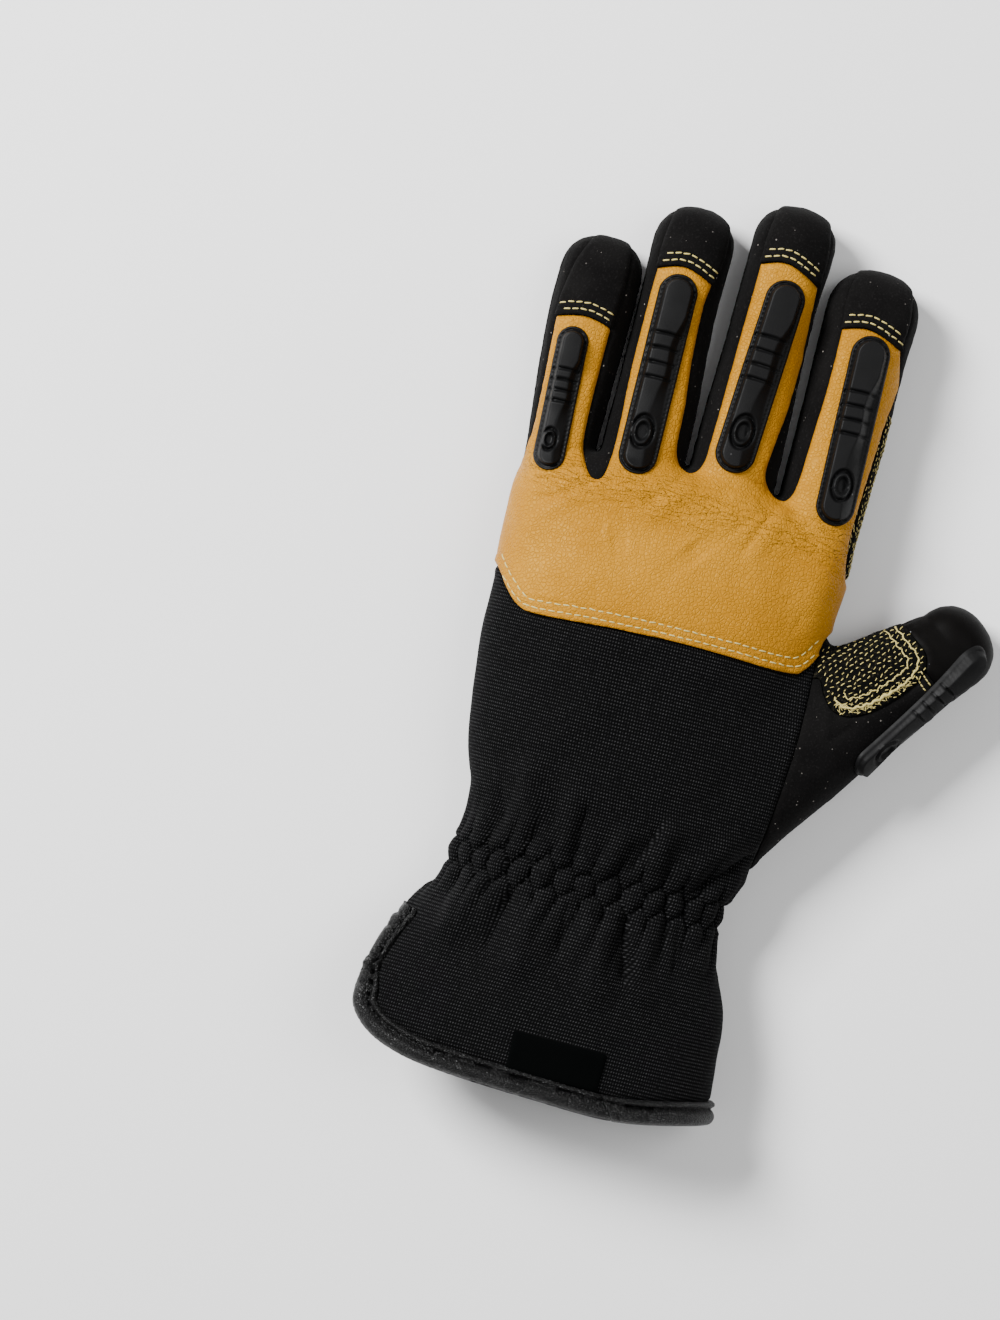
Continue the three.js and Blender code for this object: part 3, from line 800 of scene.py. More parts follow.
SEWN_ROWS = dict(leather_back=[spline(row) for row in HEM_ROWS])
for name, edge in CAPS.items():
    before = edge[0] + 2.4 * (edge[0] - edge[1]) / np.linalg.norm(edge[0] - edge[1])
    longer = np.concatenate([[before], edge])
    SEWN_ROWS["tip_cap_" + name] = [longer + (0, rise) for rise in CAP_ROWS]
ROW_DEPTH = 0.3
ROW_HALF = 0.65
CAP_TOPS = {name: float(edge[:, 1].mean()) for name, edge in CAPS.items()}

print("sewn rows:", {name: len(rows) for name, rows in SEWN_ROWS.items()})

# %% How far a panel stands above the skin


def leather_lift(y):
    """The leather lies on top of the knit at its hem and sinks level with the strips up the fingers."""
    return 0.35 + 0.65 * ease((34 - y) / 36)


def panel_lift(name, points):
    """How far a panel stands above the skin, away from its seams."""
    y = points[:, 1]
    if name == "leather_back":
        return leather_lift(y)
    if name.startswith("tip_cap"):
        return 0.35 + 0.75 * ease(1 - (y - CAP_TOPS[name[8:]]) / 16)
    if name.startswith("sidewall"):
        return np.full(len(y), -0.3)
    if name == "aramid_thumb_patch":
        return np.full(len(y), 0.25)
    return np.zeros(len(y))


def row_depth(name, points):
    """How far the sewn rows of a panel draw it in."""
    closest = np.full(len(points), 9.0)
    for row in SEWN_ROWS.get(name, ()):
        for start, end in zip(row, row[1:]):
            closest = np.minimum(closest, line_distance(points[:, :2], start, end)[0])
    return ROW_DEPTH * np.exp(-((closest / ROW_HALF) ** 2))


print("leather over the knit:", leather_lift(-10.0), "and up the fingers:", leather_lift(60.0), "mm")

# %% Cut out and raise every panel
surfaces = {}


def make_panel(name, skin, normals, faces, fields):
    """Cut one panel out of the skin and make its piece."""
    zones = PANELS[name]
    bounds = np.stack([-fields[z[1:]] if z[0] == "-" else fields[z] for z in zones], 1)
    for zone, under in TUCKED.items():
        if zone in zones:
            bounds[:, zones.index(zone)] += under
    data, faces = cut(np.concatenate([skin, normals, bounds], 1), faces, bounds.min(1) - HALF_GAP)
    points, directions, bounds = data[:, :3], data[:, 3:6], data[:, 6:]
    directions = directions / np.linalg.norm(directions, axis=1)[:, None]
    rim = rim_edges(faces)
    lapped = [z in LAPPED.get(name, ()) for z in zones]
    low_hem = (points[:, 1] < 12) if name == "leather_back" else np.ones(len(points), bool)
    is_cut = np.array(lapped)[bounds.argmin(1)] & low_hem
    distance, corner = rim_distance(points, rim)
    soft = SLOTS.get(name, "suede") in ("suede", "smooth_cloth")
    turn_depth = SOFT_TURN_DEPTH if soft else TURN_DEPTH
    turn = turn_depth * np.clip(1 - distance / TURN_REACH, 0, 1) ** 2
    cut_edge = CUT_DEPTH * np.clip(1 - distance / CUT_REACH, 0, 1) ** 2
    pucker = PUCKER["rise"] * soft_noise(points, PUCKER["size"], 6)
    pucker = pucker * np.exp(-((distance - PUCKER["middle"]) / PUCKER["reach"]) ** 2)
    height = panel_lift(name, points) - np.where(is_cut[corner], cut_edge, turn) + pucker
    height = height - row_depth(name, points)
    surfaces[name] = (above_table(points + directions * height[:, None]), faces)
    wall, wall_faces = shell(points, directions, faces, rim, height, LINING)
    return make_piece(name, above_table(wall), wall_faces, SLOTS.get(name, "suede"), name)


panels = {}
for name, zones in PANELS.items():
    if "-back" in zones:
        panels[name] = make_panel(name, coarse_skin, coarse_normals, coarse_faces, coarse_fields)
    elif name == "knit_back":
        panels[name] = make_panel(name, knit_skin, knit_normals, knit_faces, knit_fields)
    else:
        panels[name] = make_panel(name, fine_skin, fine_normals, fine_faces, fine_fields)
print("triangles:", {name: len(piece.data.polygons) for name, piece in panels.items()})

# %% [markdown]
# ## Moulded guards
#
# A guard is one rubber moulding: a thin rim that is sewn down, and a raised body with a chamfer along
# its thumb side, four cross grooves where it bends with the finger, and an oval eye at the knuckle.
# It is drawn on a grid that runs along the finger and across it. The grid is cast down onto the
# finger and smoothed, and the body's height is then a small set of ramps and grooves.

# %% Places and sizes of the guards
GUARDS = dict(
    little=dict(top=(-46, 73.7), foot=(-43.6, 29.8), width=9.6, eye=4.6, eye_shift=-0.09),
    ring=dict(top=(-19.2, 96.8), foot=(-18.1, 35.4), width=11.8, eye=6.8, eye_shift=-0.04),
    middle=dict(top=(12.6, 103.2), foot=(9.4, 43.2), width=12.2, eye=7.0, eye_shift=0.0),
    index=dict(top=(41, 93.8), foot=(42.8, 35.7), width=12.0, eye=6.4, eye_shift=0.02),
)
THUMB_GUARD = dict(top=(-0.9, 67.0), foot=(2.8, 14.0), width=12, eye=6.4, eye_shift=-0.08, body=2.9,
                   flat=0.9, taper=0.38, rim=0.75)
THUMB_GUARD_SEAT = dict(across=62, up=11, lean=math.radians(48))
GUARD_STEP = 0.27
# share of the length, then the body's edges as shares of the half width: foot and top of each side
GUARD_BODY = [
    (0.00, -0.84, -0.74, 0.60, 0.76, 0.94), (0.22, -0.84, -0.74, 0.62, 0.78, 1.00),
    (0.32, -0.84, -0.74, 0.30, 0.62, 1.00), (0.52, -0.84, -0.74, 0.30, 0.62, 0.95),
    (0.60, -0.86, -0.74, 0.12, 0.64, 0.88), (0.70, -0.86, -0.72, 0.00, 0.70, 0.90),
    (0.86, -0.86, -0.70, 0.20, 0.78, 1.00), (1.00, -0.86, -0.66, 0.36, 0.76, 0.94),
]
RIM_WIDTH = 1.35
RIM_HEIGHT = 1.15
BODY_HEIGHT = 3.95
GROOVES = (0.30, 0.373, 0.447, 0.52)
GROOVE_HALF = 0.36
GROOVE_FLOOR = 0.6  # a groove never cuts through the rim
STITCH_GROOVE = 1.05  # from the rim's edge
EYE_AT = 0.79
EYE_LONG = 1.5
GUARD_FOOT = 0.35
GUARD_UNDER = 0.3
print("guards:", len(GUARDS) + 1, "grid step:", GUARD_STEP, "mm")

# %% Shape of a guard


def bump(x, half):
    """1 in the middle of a band and 0 past its half width, with a round top."""
    return np.clip(1 - (x / half) ** 2, 0, 1)


def guard_height(u, v, length, width, eye, eye_shift, body=BODY_HEIGHT, rim=RIM_WIDTH):
    """Height of a guard over the cloth, u across it and v along it from its upper end."""
    half = width / 2
    share = v / length
    low_left, top_left, top_right, low_right, rise = (
        along_table(share, GUARD_BODY, column) * (half if column < 5 else 1) for column in range(1, 6)
    )
    low_left, top_left = low_left + rim - RIM_WIDTH, top_left + rim - RIM_WIDTH
    past = np.maximum(np.maximum(half - v, v - (length - half)), 0)
    inset = half - np.hypot(u, past)
    ramp = np.minimum((u - low_left) / (top_left - low_left), (low_right - u) / (low_right - top_right))
    ramp = np.clip(np.minimum(ramp, (inset - rim) / 0.6), 0, 1)
    depth = body - RIM_HEIGHT
    block = ramp * rise
    height = RIM_HEIGHT * np.clip(inset / 0.45, 0, 1) ** 0.5 + depth * block
    across = np.clip((u + 0.92 * half) * (0.74 * half - u) / (0.5 * half), 0, 1)
    for groove in GROOVES:
        bow = 0.5 * (u / half) ** 2
        sunk = height - (0.35 + 0.42 * depth) * across * bump(v - groove * length - bow, GROOVE_HALF)
        height = np.minimum(height, np.maximum(sunk, GROOVE_FLOOR))
    stitched = bump(inset - STITCH_GROOVE, 0.42) * (1 - 0.8 * np.clip(block * 3, 0, 1))
    height = height - (0.3 + 0.22 * np.cos(2 * math.pi * v / 1.5)) * stitched
    eye_u = (u - eye_shift * width) / (eye / 2)
    eye_v = (v - EYE_AT * length) / (eye / 2 * EYE_LONG)
    reach = np.hypot(eye_u, eye_v)
    height = height - 0.5 * depth * bump(reach - 0.93, 0.15)
    dish = np.clip((0.6 - reach) / 0.14, 0, 1) * (0.85 + 0.35 * np.clip(eye_u, -1, 1))
    return height - 0.68 * depth * dish


print("a guard at its middle:", guard_height(0.0, 6.0, 60.0, 12.0, 7.0, 0.0).round(2), "mm")

# %% Cast a grid onto a finger


def smooth_grid(grid, rounds):
    """A grid of values blurred along both ways, its border kept."""
    for _ in range(rounds):
        grid = grid.copy()
        grid[1:-1] = (grid[:-2] + 2 * grid[1:-1] + grid[2:]) / 4
        grid[:, 1:-1] = (grid[:, :-2] + 2 * grid[:, 1:-1] + grid[:, 2:]) / 4
    return grid


form_tree = BVHTree.FromPolygons(fine_points.tolist(), fine_faces.tolist())


def cast(points, down, tree=form_tree):
    """How far below each point the skin lies, along one direction."""
    down = Vector(down)
    return np.array([tree.ray_cast(Vector(point), down, 90)[3] or 90.0 for point in points.tolist()])


def grid_faces(rows, columns):
    """The triangles of a grid of points."""
    corner = (np.arange(rows - 1)[:, None] * columns + np.arange(columns - 1)).ravel()
    right, below = corner + 1, corner + columns
    return np.concatenate([np.stack([corner, below, right], 1), np.stack([right, below, below + 1], 1)])


print("grid faces of 3 by 3 points:", len(grid_faces(3, 3)))

# %% Make the guards


def make_guard(name, size, place):
    """A guard cast onto the form, in the plan that place turns and leans."""
    top, foot = Vector(size["top"]), Vector(size["foot"])
    length = (top - foot).length
    turn = math.atan2(-(top - foot).x, (top - foot).y)
    seat = place @ Matrix.Translation((*top, 0)) @ Matrix.Rotation(turn, 4, "Z")
    rows = round(length / GUARD_STEP)
    columns = round(size["width"] / GUARD_STEP)
    along = length * (1 - np.cos(np.linspace(0, math.pi, rows + 1))) / 2
    along = 0.3 * along + 0.7 * np.linspace(0, length, rows + 1)
    half = size["width"] / 2
    past = np.maximum(np.maximum(half - along, along - (length - half)), 0)
    wide = np.sqrt(np.maximum(half**2 - past**2, 1e-4))
    u = wide[:, None] * np.sin(np.linspace(-1, 1, columns + 1) * math.pi / 2)[None]
    u = 0.25 * u + 0.75 * wide[:, None] * np.linspace(-1, 1, columns + 1)[None]
    v = np.broadcast_to(along[:, None], u.shape)
    turn_grid = np.array(seat.to_3x3())
    narrow = u * (1 - size.get("taper", 0) * (1 - v / length))
    flat = np.stack([narrow, -v, np.zeros_like(u)], -1) @ turn_grid.T + np.array(seat.translation)
    up = turn_grid[:, 2]
    base = 50 - cast((flat + 50 * up).reshape(-1, 3), -up).reshape(u.shape)
    base = smooth_grid(base, 14)
    middle = smooth_grid(base, 4)[:, columns // 2][:, None]
    settings = {key: size[key] for key in size if key not in ("top", "foot", "flat", "taper")}
    height = smooth_grid(guard_height(u, v, length, **settings), 1)
    raised = np.clip((height - RIM_HEIGHT) / (BODY_HEIGHT - RIM_HEIGHT), 0, 1)
    outer = base + size.get("flat", 0.5) * raised * (middle - base) + height + GUARD_FOOT
    inner = base + GUARD_UNDER
    sides = [(flat + level[..., None] * up).reshape(-1, 3) for level in (outer, inner)]
    faces = grid_faces(rows + 1, columns + 1)
    return make_piece("guard_" + name, *close_wall(*sides, faces, rim_edges(faces)), "guard_rubber",
                      "guard_" + name)


thumb_side = (
    Matrix.Rotation(THUMB_HEADING, 4, "Z")
    @ Matrix.Translation((THUMB_GUARD_SEAT["across"], 0, THUMB_GUARD_SEAT["up"]))
    @ Matrix.Rotation(THUMB_GUARD_SEAT["lean"], 4, "Y")
)
guards = [make_guard(name, size, Matrix.Identity(4)) for name, size in GUARDS.items()]
guards.append(make_guard("thumb", THUMB_GUARD, thumb_side))
print("guards:", [(g.name, len(g.data.polygons)) for g in guards])

# %% [markdown]
# ## Edge binding and label
#
# A strip of thin leather is folded over the raw hem and sewn through, so its section is a soft roll,
# a sewn groove and a narrow ridge where the strip's own edge is turned under. The form is meshed
# again round the hem, finer, because the ridge is only a millimetre wide.

# %% Binding
BAND_STEP = 0.4
BAND_JOIN = [(16.0, -140), (29.8, -158)]
BAND_END_Y = -105.2
BAND_SECTION = [  # from the hem inwards: height outside, depth inside
    (0.0, -1.0, 0.5), (0.4, 0.1, 1.4), (1.0, 0.95, 2.0), (1.9, 1.5, 2.3), (2.9, 1.65, 2.3), (3.8, 1.4, 2.3),
    (4.6, 0.7, 2.2), (5.1, 0.15, 2.1), (5.5, 0.2, 2.0), (5.9, 0.85, 2.0), (6.5, 1.15, 1.9), (7.0, 0.9, 1.8),
    (7.4, 0.2, 1.7),
]
BAND_STITCH = 3.6
BAND_SEWN = 5.1  # the sewn groove, from the hem
BAND_CREASES = [  # from x, from y, to x, to y, half width, depth
    (-62, -124.4, -50, -122.8, 0.55, 1.1), (-62, -126.2, -50, -124.9, 0.7, -0.8),
    (-62, -128.0, -50, -127.2, 0.5, 1.0), (-60, -116, -50, -113, 0.7, 0.6),
    (-64, -133, -53, -131, 0.9, 0.5), (-58, -110.5, -48, -109.2, 0.5, 0.6),
    (-58, -112.2, -48, -110.6, 0.6, -0.4),
]
band_low = np.array([-75.0, -158.0, -3.0])
band_high = np.array([60.0, -98.0, 40.0])
band_points, band_faces = mesh_form(BAND_STEP, band_low, band_high)
hem_in = outline_distance(band_points[:, :2], OUTLINES["hem"])
in_band = (hem_in > -1.5) & (hem_in < BINDING_WIDTH + 1.2)
band_points, band_faces = keep_points(band_points, band_faces, in_band)
band_skin, band_normals = raise_skin(band_points, band_faces)
hem_in = outline_distance(band_skin[:, :2], OUTLINES["hem"])
join_start, join_end = np.array(BAND_JOIN, float)
join_run = (join_end - join_start) / np.linalg.norm(join_end - join_start)
past_join = (band_skin[:, :2] - join_start) @ np.array([-join_run[1], join_run[0]])
hem_length = lengths_along(spline(HEM))
hem_tree = KDTree(len(hem_length))
for number, point in enumerate(spline(HEM).tolist()):
    hem_tree.insert((*point, 0), number)
hem_tree.balance()

print("binding skin:", len(band_points), "vertices, hem length:", round(hem_length[-1]), "mm")

# %% Section of the binding, along the hem


def along_hem(points):
    """How far along the hem each point of the plan lies."""
    return np.array([hem_length[hem_tree.find((x, y, 0))[1]] for x, y in points[:, :2].tolist()])


def band_part(side):
    """The part of the binding on one side of its lapped join."""
    before_end = BAND_END_Y - band_skin[:, 1] - 0.6 * np.clip(1.6 - hem_in, 0, 1.6)
    before_end = np.where(band_skin[:, 0] < -30, before_end, 9.0)
    columns = np.stack([hem_in, binding_width(band_skin) - hem_in, side * past_join, before_end], 1)
    data = np.concatenate([band_skin, band_normals, columns], 1)
    data, faces = cut(data, band_faces, columns.min(1) - 0.04)
    points, normals, beyond, before_end = data[:, :3], data[:, 3:6], data[:, 8], data[:, 9]
    inward = data[:, 6] * BINDING_WIDTH / np.maximum(binding_width(points), 1)
    normals = normals / np.linalg.norm(normals, axis=1)[:, None]
    height = along_table(inward, BAND_SECTION, 1)
    depth = along_table(inward, BAND_SECTION, 2)
    along = along_hem(points)
    sewn = np.clip(np.cos(2 * math.pi * along / BAND_STITCH) * 2 - 0.4, 0, 1)
    sewn = bump(inward - BAND_SEWN, 0.8) * sewn
    height = height - 0.95 * sewn + 0.16 * soft_noise(points, 7, 8) + 0.07 * soft_noise(points, 2.2, 9)
    for x0, y0, x1, y1, half, deep in BAND_CREASES:
        away, _ = line_distance(points[:, :2], (x0, y0), (x1, y1))
        height = height - deep * np.exp(-((away / half) ** 2))
    height = height * (0.05 + 0.95 * np.clip(before_end / 2.0, 0, 1) ** 0.5)
    if side > 0:
        height = height + 1.3 * np.exp(-beyond / 30) - 0.5 * bump(beyond - 2.2, 0.6)
        height = height - 0.35 * np.clip(1 - beyond / 0.5, 0, 1) ** 2
    return points, normals, faces, height, depth


band_walls = []
for side in (-1, 1):
    points, normals, faces, height, depth = band_part(side)
    wall, wall_faces = shell(points, normals, faces, rim_edges(faces), height, depth[:, None])
    band_walls.append((above_table(wall), wall_faces))


def joined(parts):
    """Several meshes as one."""
    starts = np.cumsum([0] + [len(points) for points, _ in parts])
    return (np.concatenate([points for points, _ in parts]),
            np.concatenate([faces + start for (_, faces), start in zip(parts, starts)]))


binding = make_piece("cuff_binding", *joined(band_walls), "binding_leather", "cuff_binding")
print("binding triangles:", len(binding.data.polygons))

# %% Label
LABEL = dict(middle=(4.5, -138.8), width=28.0, height=11.4, thick=0.8)
label_x = LABEL["middle"][0] + LABEL["width"] / 2 * np.array([-1, 1, 1, -1])
label_y = LABEL["middle"][1] + LABEL["height"] / 2 * np.array([-1, -1, 1, 1])
label_field = outline_distance(knit_skin[:, :2], np.stack([label_x, label_y], 1))
label_data, label_faces = cut(np.concatenate([knit_skin, knit_normals], 1), knit_faces,
                              np.minimum(label_field, knit_fields["back"]))
label_rim = rim_edges(label_faces)
label_edge, _ = rim_distance(label_data[:, :3], label_rim)
label_height = LABEL["thick"] - 0.3 * np.clip(1 - label_edge / 0.9, 0, 1) ** 2
label_wall = shell(label_data[:, :3], label_data[:, 3:6], label_faces, label_rim, label_height, -0.1)
label = make_piece("cuff_label", *label_wall, "label_cloth", "cuff_label")
print("label triangles:", len(label.data.polygons))

# %% [markdown]
# ## Stitches
#
# Every stitch that shows is a short bow of thread that comes out of the cloth and dips back in. A row
# follows a curve seen from above and is cast down onto the panels that it runs over, so it rides over
# their folds. The thread is laid a little unevenly, as a hand fed machine lays it.

# %% Surfaces that stitches are cast onto


def surface_tree(*names):
    """A tree of the outer faces of some panels."""
    points, faces = joined([surfaces[name] for name in names])
    return BVHTree.FromPolygons(points.tolist(), faces.tolist())


def spaced(path, pitch, start=0.0):
    """Points along a path of the plan at a pitch, and the path's direction there."""
    path = np.asarray(path, float)
    lengths = lengths_along(path)
    at = np.arange(start + pitch / 2, lengths[-1], pitch)
    points = np.stack([np.interp(at, lengths, path[:, k]) for k in range(2)], 1)
    ahead = np.stack([np.interp(at + 0.3, lengths, path[:, k]) for k in range(2)], 1)
    behind = np.stack([np.interp(at - 0.3, lengths, path[:, k]) for k in range(2)], 1)
    run = ahead - behind
    return points, run / np.linalg.norm(run, axis=1)[:, None]


print("spaced points on a 10 mm line:", len(spaced([(0, 0), (10, 0)], 2.6)[0]))

# %% A thread as a thin closed tube
THREAD_SIDES = 8


def thread_tube(line, ups, radii):
    """A closed tube round a line of points, flattened a little, with its own radius at each point."""
    line = np.asarray(line, float)
    run = np.gradient(line, axis=0)
    run /= np.linalg.norm(run, axis=1)[:, None]
    ups = np.asarray(ups, float)
    sides = np.cross(run, ups)
    sides /= np.linalg.norm(sides, axis=1)[:, None]
    ups = np.cross(sides, run)
    turn = np.linspace(0, 2 * math.pi, THREAD_SIDES, endpoint=False)
    ring = np.cos(turn)[None, :, None] * sides[:, None] + 0.85 * np.sin(turn)[None, :, None] * ups[:, None]
    points = (line[:, None] + ring * np.asarray(radii)[:, None, None]).reshape(-1, 3)
    faces = []
    for i in range(len(line) - 1):
        for j in range(THREAD_SIDES):
            a, b = i * THREAD_SIDES + j, i * THREAD_SIDES + (j + 1) % THREAD_SIDES
            faces += [(a, b, b + THREAD_SIDES), (a, b + THREAD_SIDES, a + THREAD_SIDES)]
    last = (len(line) - 1) * THREAD_SIDES
    for j in range(1, THREAD_SIDES - 1):
        faces += [(0, j + 1, j), (last, last + j, last + j + 1)]
    return points, np.array(faces)


straight = thread_tube([(0, 0, 0), (1, 0, 0), (2, 0, 0)], [(0, 0, 1)] * 3, [0.2] * 3)
print("triangles of a thread of three rings:", len(straight[1]))

# %% One stitch, and a row of them


def drop(tree, seat, x, y):
    """Where a point of a leaning plan lands on a tree's surface, and the surface's normal."""
    down = -seat.to_3x3().col[2]
    place, normal, _, _ = tree.ray_cast(seat @ Vector((x, y, 60)), down, 80)
    if place is None or normal.dot(down) > -0.2:
        return None, None
    return np.array(place), np.array(normal)


BOW = [(-0.5, -0.45, 0.8), (-0.42, -0.1, 1.0), (-0.25, 0.16, 1.0), (0.0, 0.24, 1.05), (0.25, 0.16, 1.0),
       (0.42, -0.1, 1.0), (0.5, -0.45, 0.8)]  # share of the length, height, share of the radius


UPRIGHT = Matrix.Identity(4)


def one_stitch(tree, seat, x, y, run_x, run_y, length, radius):
    """One bow of thread, as a list of no or one tube."""
    line, ups = [], []
    for share, height, _ in BOW:
        at, normal = drop(tree, seat, x + share * length * run_x, y + share * length * run_y)
        if at is None:
            return []
        line.append(at + normal * height * 2 * radius)
        ups.append(normal)
    return [thread_tube(line, ups, [radius * swell for _, _, swell in BOW])]


def stitch_row(tree, path, pitch, length, radius, seed, start=0.0):
    """A row of stitches along a path of the plan."""
    random = np.random.default_rng(seed)
    tubes = []
    for (x, y), (run_x, run_y) in zip(*spaced(path, pitch, start)):
        tilt, stretch, side = random.normal(0, 1, 3) * (0.07, 0.06, 0.05)
        run_x, run_y = run_x - tilt * run_y, run_y + tilt * run_x
        tubes += one_stitch(tree, UPRIGHT, x - side * run_y, y + side * run_x, run_x, run_y,
                            length * (1 + stretch), radius)
    return tubes


print("rings in one bow of thread:", len(BOW))

# %% Rows of the hem, the fingertips and the thumb
leather_tree = surface_tree("leather_back")
hem_stitches = []
for number, row in enumerate(SEWN_ROWS["leather_back"]):
    hem_stitches += stitch_row(leather_tree, row, 2.6, 1.9, 0.22, 20 + number, 0.9 * number)
cap_stitches = []
for finger in CAPS:
    tree = surface_tree("tip_cap_" + finger)
    for number, row in enumerate(SEWN_ROWS["tip_cap_" + finger]):
        cap_stitches += stitch_row(tree, row, 2.5, 1.85, 0.24, 40 + number, number * 0.7)
THUMB_ROWS = [[(79.7, 0.8), (84.2, -3.0)], [(78.7, -1.1), (83.2, -4.9)]]
thumb_tree = surface_tree("thumb_back", "thumb_tip", "aramid_thumb_patch")
thumb_stitches = []
for number, row in enumerate(THUMB_ROWS):
    thumb_stitches += stitch_row(thumb_tree, row, 1.35, 1.05, 0.2, 60 + number)
all_stitches = joined(hem_stitches + cap_stitches + thumb_stitches)
stitches = make_piece("cream_stitches", *all_stitches, "cream_thread")
print("cream stitches:", len(hem_stitches), len(cap_stitches), len(thumb_stitches))

# %% [markdown]
# ## Cut resistant knit
#
# The patch over the thumb's crotch and the strip beside the index finger are knitted from black and
# straw-coloured fibre, so the pale yarn comes up as flecks, in rows along the thumb. Each fleck is a
# short bow of yarn. The patch is held down by two wavy runs of thick thread beside its edge, and the
# outer one has grown fuzzy along the bottom.

# %% Flecks of yarn


def flecks(tree, seat, low, high, row_gap, pitch, seed, dropped=0.06):
    """Flecks of yarn in rows across a leaning plan, where they land on a tree's surface."""
    random = np.random.default_rng(seed)
    tubes = []
    for row, x in enumerate(np.arange(low[0], high[0], row_gap)):
        for y in np.arange(low[1] + (row % 2) * pitch / 2, high[1], pitch):
            aside, ahead, turn, long, thick, chance = random.uniform(-1, 1, 6)
            if chance < 2 * dropped - 1:
                continue
            angle = math.pi / 2 + 0.5 * turn
            run = (math.cos(angle), math.sin(angle))
            tubes += one_stitch(tree, seat, x + 0.28 * aside, y + 0.3 * ahead, *run,
                                1.0 + 0.4 * long, 0.125 + 0.04 * thick)
    return tubes


patch_tree = surface_tree("aramid_thumb_patch")
strip_tree = surface_tree("aramid_index_strip")
patch_seat = Matrix.Rotation(THUMB_HEADING, 4, "Z") @ Matrix.Rotation(math.radians(-8), 4, "Y")
strip_seat = Matrix.Translation((52, 0, 12)) @ Matrix.Rotation(math.radians(50), 4, "Y")
patch_flecks = flecks(patch_tree, patch_seat, (34, 12), (76, 62), 1.55, 1.9, 71)
strip_flecks = flecks(strip_tree, strip_seat, (-14, 10), (14, 74), 1.35, 1.7, 72)
fleck_pieces = [make_piece("patch_flecks", *joined(patch_flecks), "cream_thread"),
                make_piece("strip_flecks", *joined(strip_flecks), "cream_thread")]
print("flecks:", len(patch_flecks), len(strip_flecks))

# %% Two runs of thick thread beside the patch's edge


def shifted(path, distance):
    """A path of the plan moved to its left."""
    run = np.gradient(path, axis=0)
    run /= np.linalg.norm(run, axis=1)[:, None]
    return path + distance * np.stack([-run[:, 1], run[:, 0]], 1)


WAVE_LENGTH = 2.9
RING_GAP = 0.45


def thread_run(tree, path, radius, wave, seed, fuzz=None):
    """A continuous wavy thread laid on a surface, thicker where fuzz says so."""
    random = np.random.default_rng(seed)
    points, runs = spaced(path, RING_GAP)
    along = RING_GAP * np.arange(len(points))
    aside = wave * np.sin(2 * math.pi * along / WAVE_LENGTH + random.uniform(0, 6))
    aside = aside + random.normal(0, 0.1, len(points))
    thick = radius * (1 + 0.18 * random.normal(0, 1, len(points)))
    if fuzz is not None:
        thick = thick * (1 + fuzz(points))
    points = points + aside[:, None] * np.stack([-runs[:, 1], runs[:, 0]], 1)
    line, ups, radii = [], [], []
    for (x, y), r, step in zip(points, thick, range(len(points))):
        at, normal = drop(tree, UPRIGHT, x, y)
        if at is not None:
            lift = 0.25 + 0.2 * math.sin(2 * math.pi * RING_GAP * step / (WAVE_LENGTH / 2))
            line.append(at + normal * r * lift)
            ups.append(normal)
            radii.append(max(r, 0.1))
    return thread_tube(line, ups, radii)


def fuzz_share(points):
    """How far the outer thread has swollen, most along the bottom of the patch."""
    return 0.9 * np.exp(-(((points[:, 0] - 70) / 8) ** 2)) * (points[:, 1] < 2)


patch_edge = CURVES["thumb_patch"][14:]
patch_threads = [
    thread_run(patch_tree, shifted(patch_edge, 2.6), 0.22, 0.2, 81, fuzz_share),
    thread_run(patch_tree, shifted(patch_edge, 5.6), 0.19, 0.24, 82),
]
random = np.random.default_rng(83)
fibres = []
for x, y in shifted(patch_edge, 2.2)[4:26]:
    for _ in range(4):
        angle = random.uniform(0, math.pi)
        fibres += one_stitch(patch_tree, UPRIGHT, x + random.normal(0, 0.7), y + random.normal(0, 0.7),
                             math.cos(angle), math.sin(angle), random.uniform(0.9, 1.9), 0.09)
threads = make_piece("patch_threads", *joined(patch_threads + fibres), "cream_thread")
print("patch thread triangles:", len(threads.data.polygons))

# %% [markdown]
# ## Finishes
#
# Black cloth is told apart by what lies on it: knit shows its courses, lit by painted highlights on its
# loops, suede its nap and caught lint, rubber a dull even sheen, the binding a pebbled gloss. Those
# effects are node groups that several materials share, each with its own sizes. The groups put out
# heights and masks, and every material keeps its own shader.

# %% Small helpers for nodes


def add_node(tree, kind, inputs=None, **settings):
    """A node with some settings made, and some inputs set to a number or linked to an output."""
    made = tree.nodes.new(kind)
    for key, value in settings.items():
        setattr(made, key, value)
    for key, value in (inputs or {}).items():
        if isinstance(value, bpy.types.NodeSocket):
            tree.links.new(value, made.inputs[key])
        else:
            made.inputs[key].default_value = value
    return made


def math_node(tree, operation, *values):
    """A math node whose inputs are outputs of other nodes or numbers, and its result."""
    return add_node(tree, "ShaderNodeMath", dict(enumerate(values)), operation=operation).outputs[0]


def step_node(tree, value, low, high):
    """0 below low, 1 above high, with a smooth step between."""
    ends = {"Value": value, "From Min": low, "From Max": high}
    return add_node(tree, "ShaderNodeMapRange", ends, interpolation_type="SMOOTHSTEP").outputs["Result"]


def noise_node(tree, place, scale, detail, **settings):
    """A noise texture at a place, with its scale and detail."""
    inputs = {"Vector": place, "Scale": scale, "Detail": detail}
    return add_node(tree, "ShaderNodeTexNoise", inputs, **settings)


VECTOR = "NodeSocketVector"
FLOAT = "NodeSocketFloat"


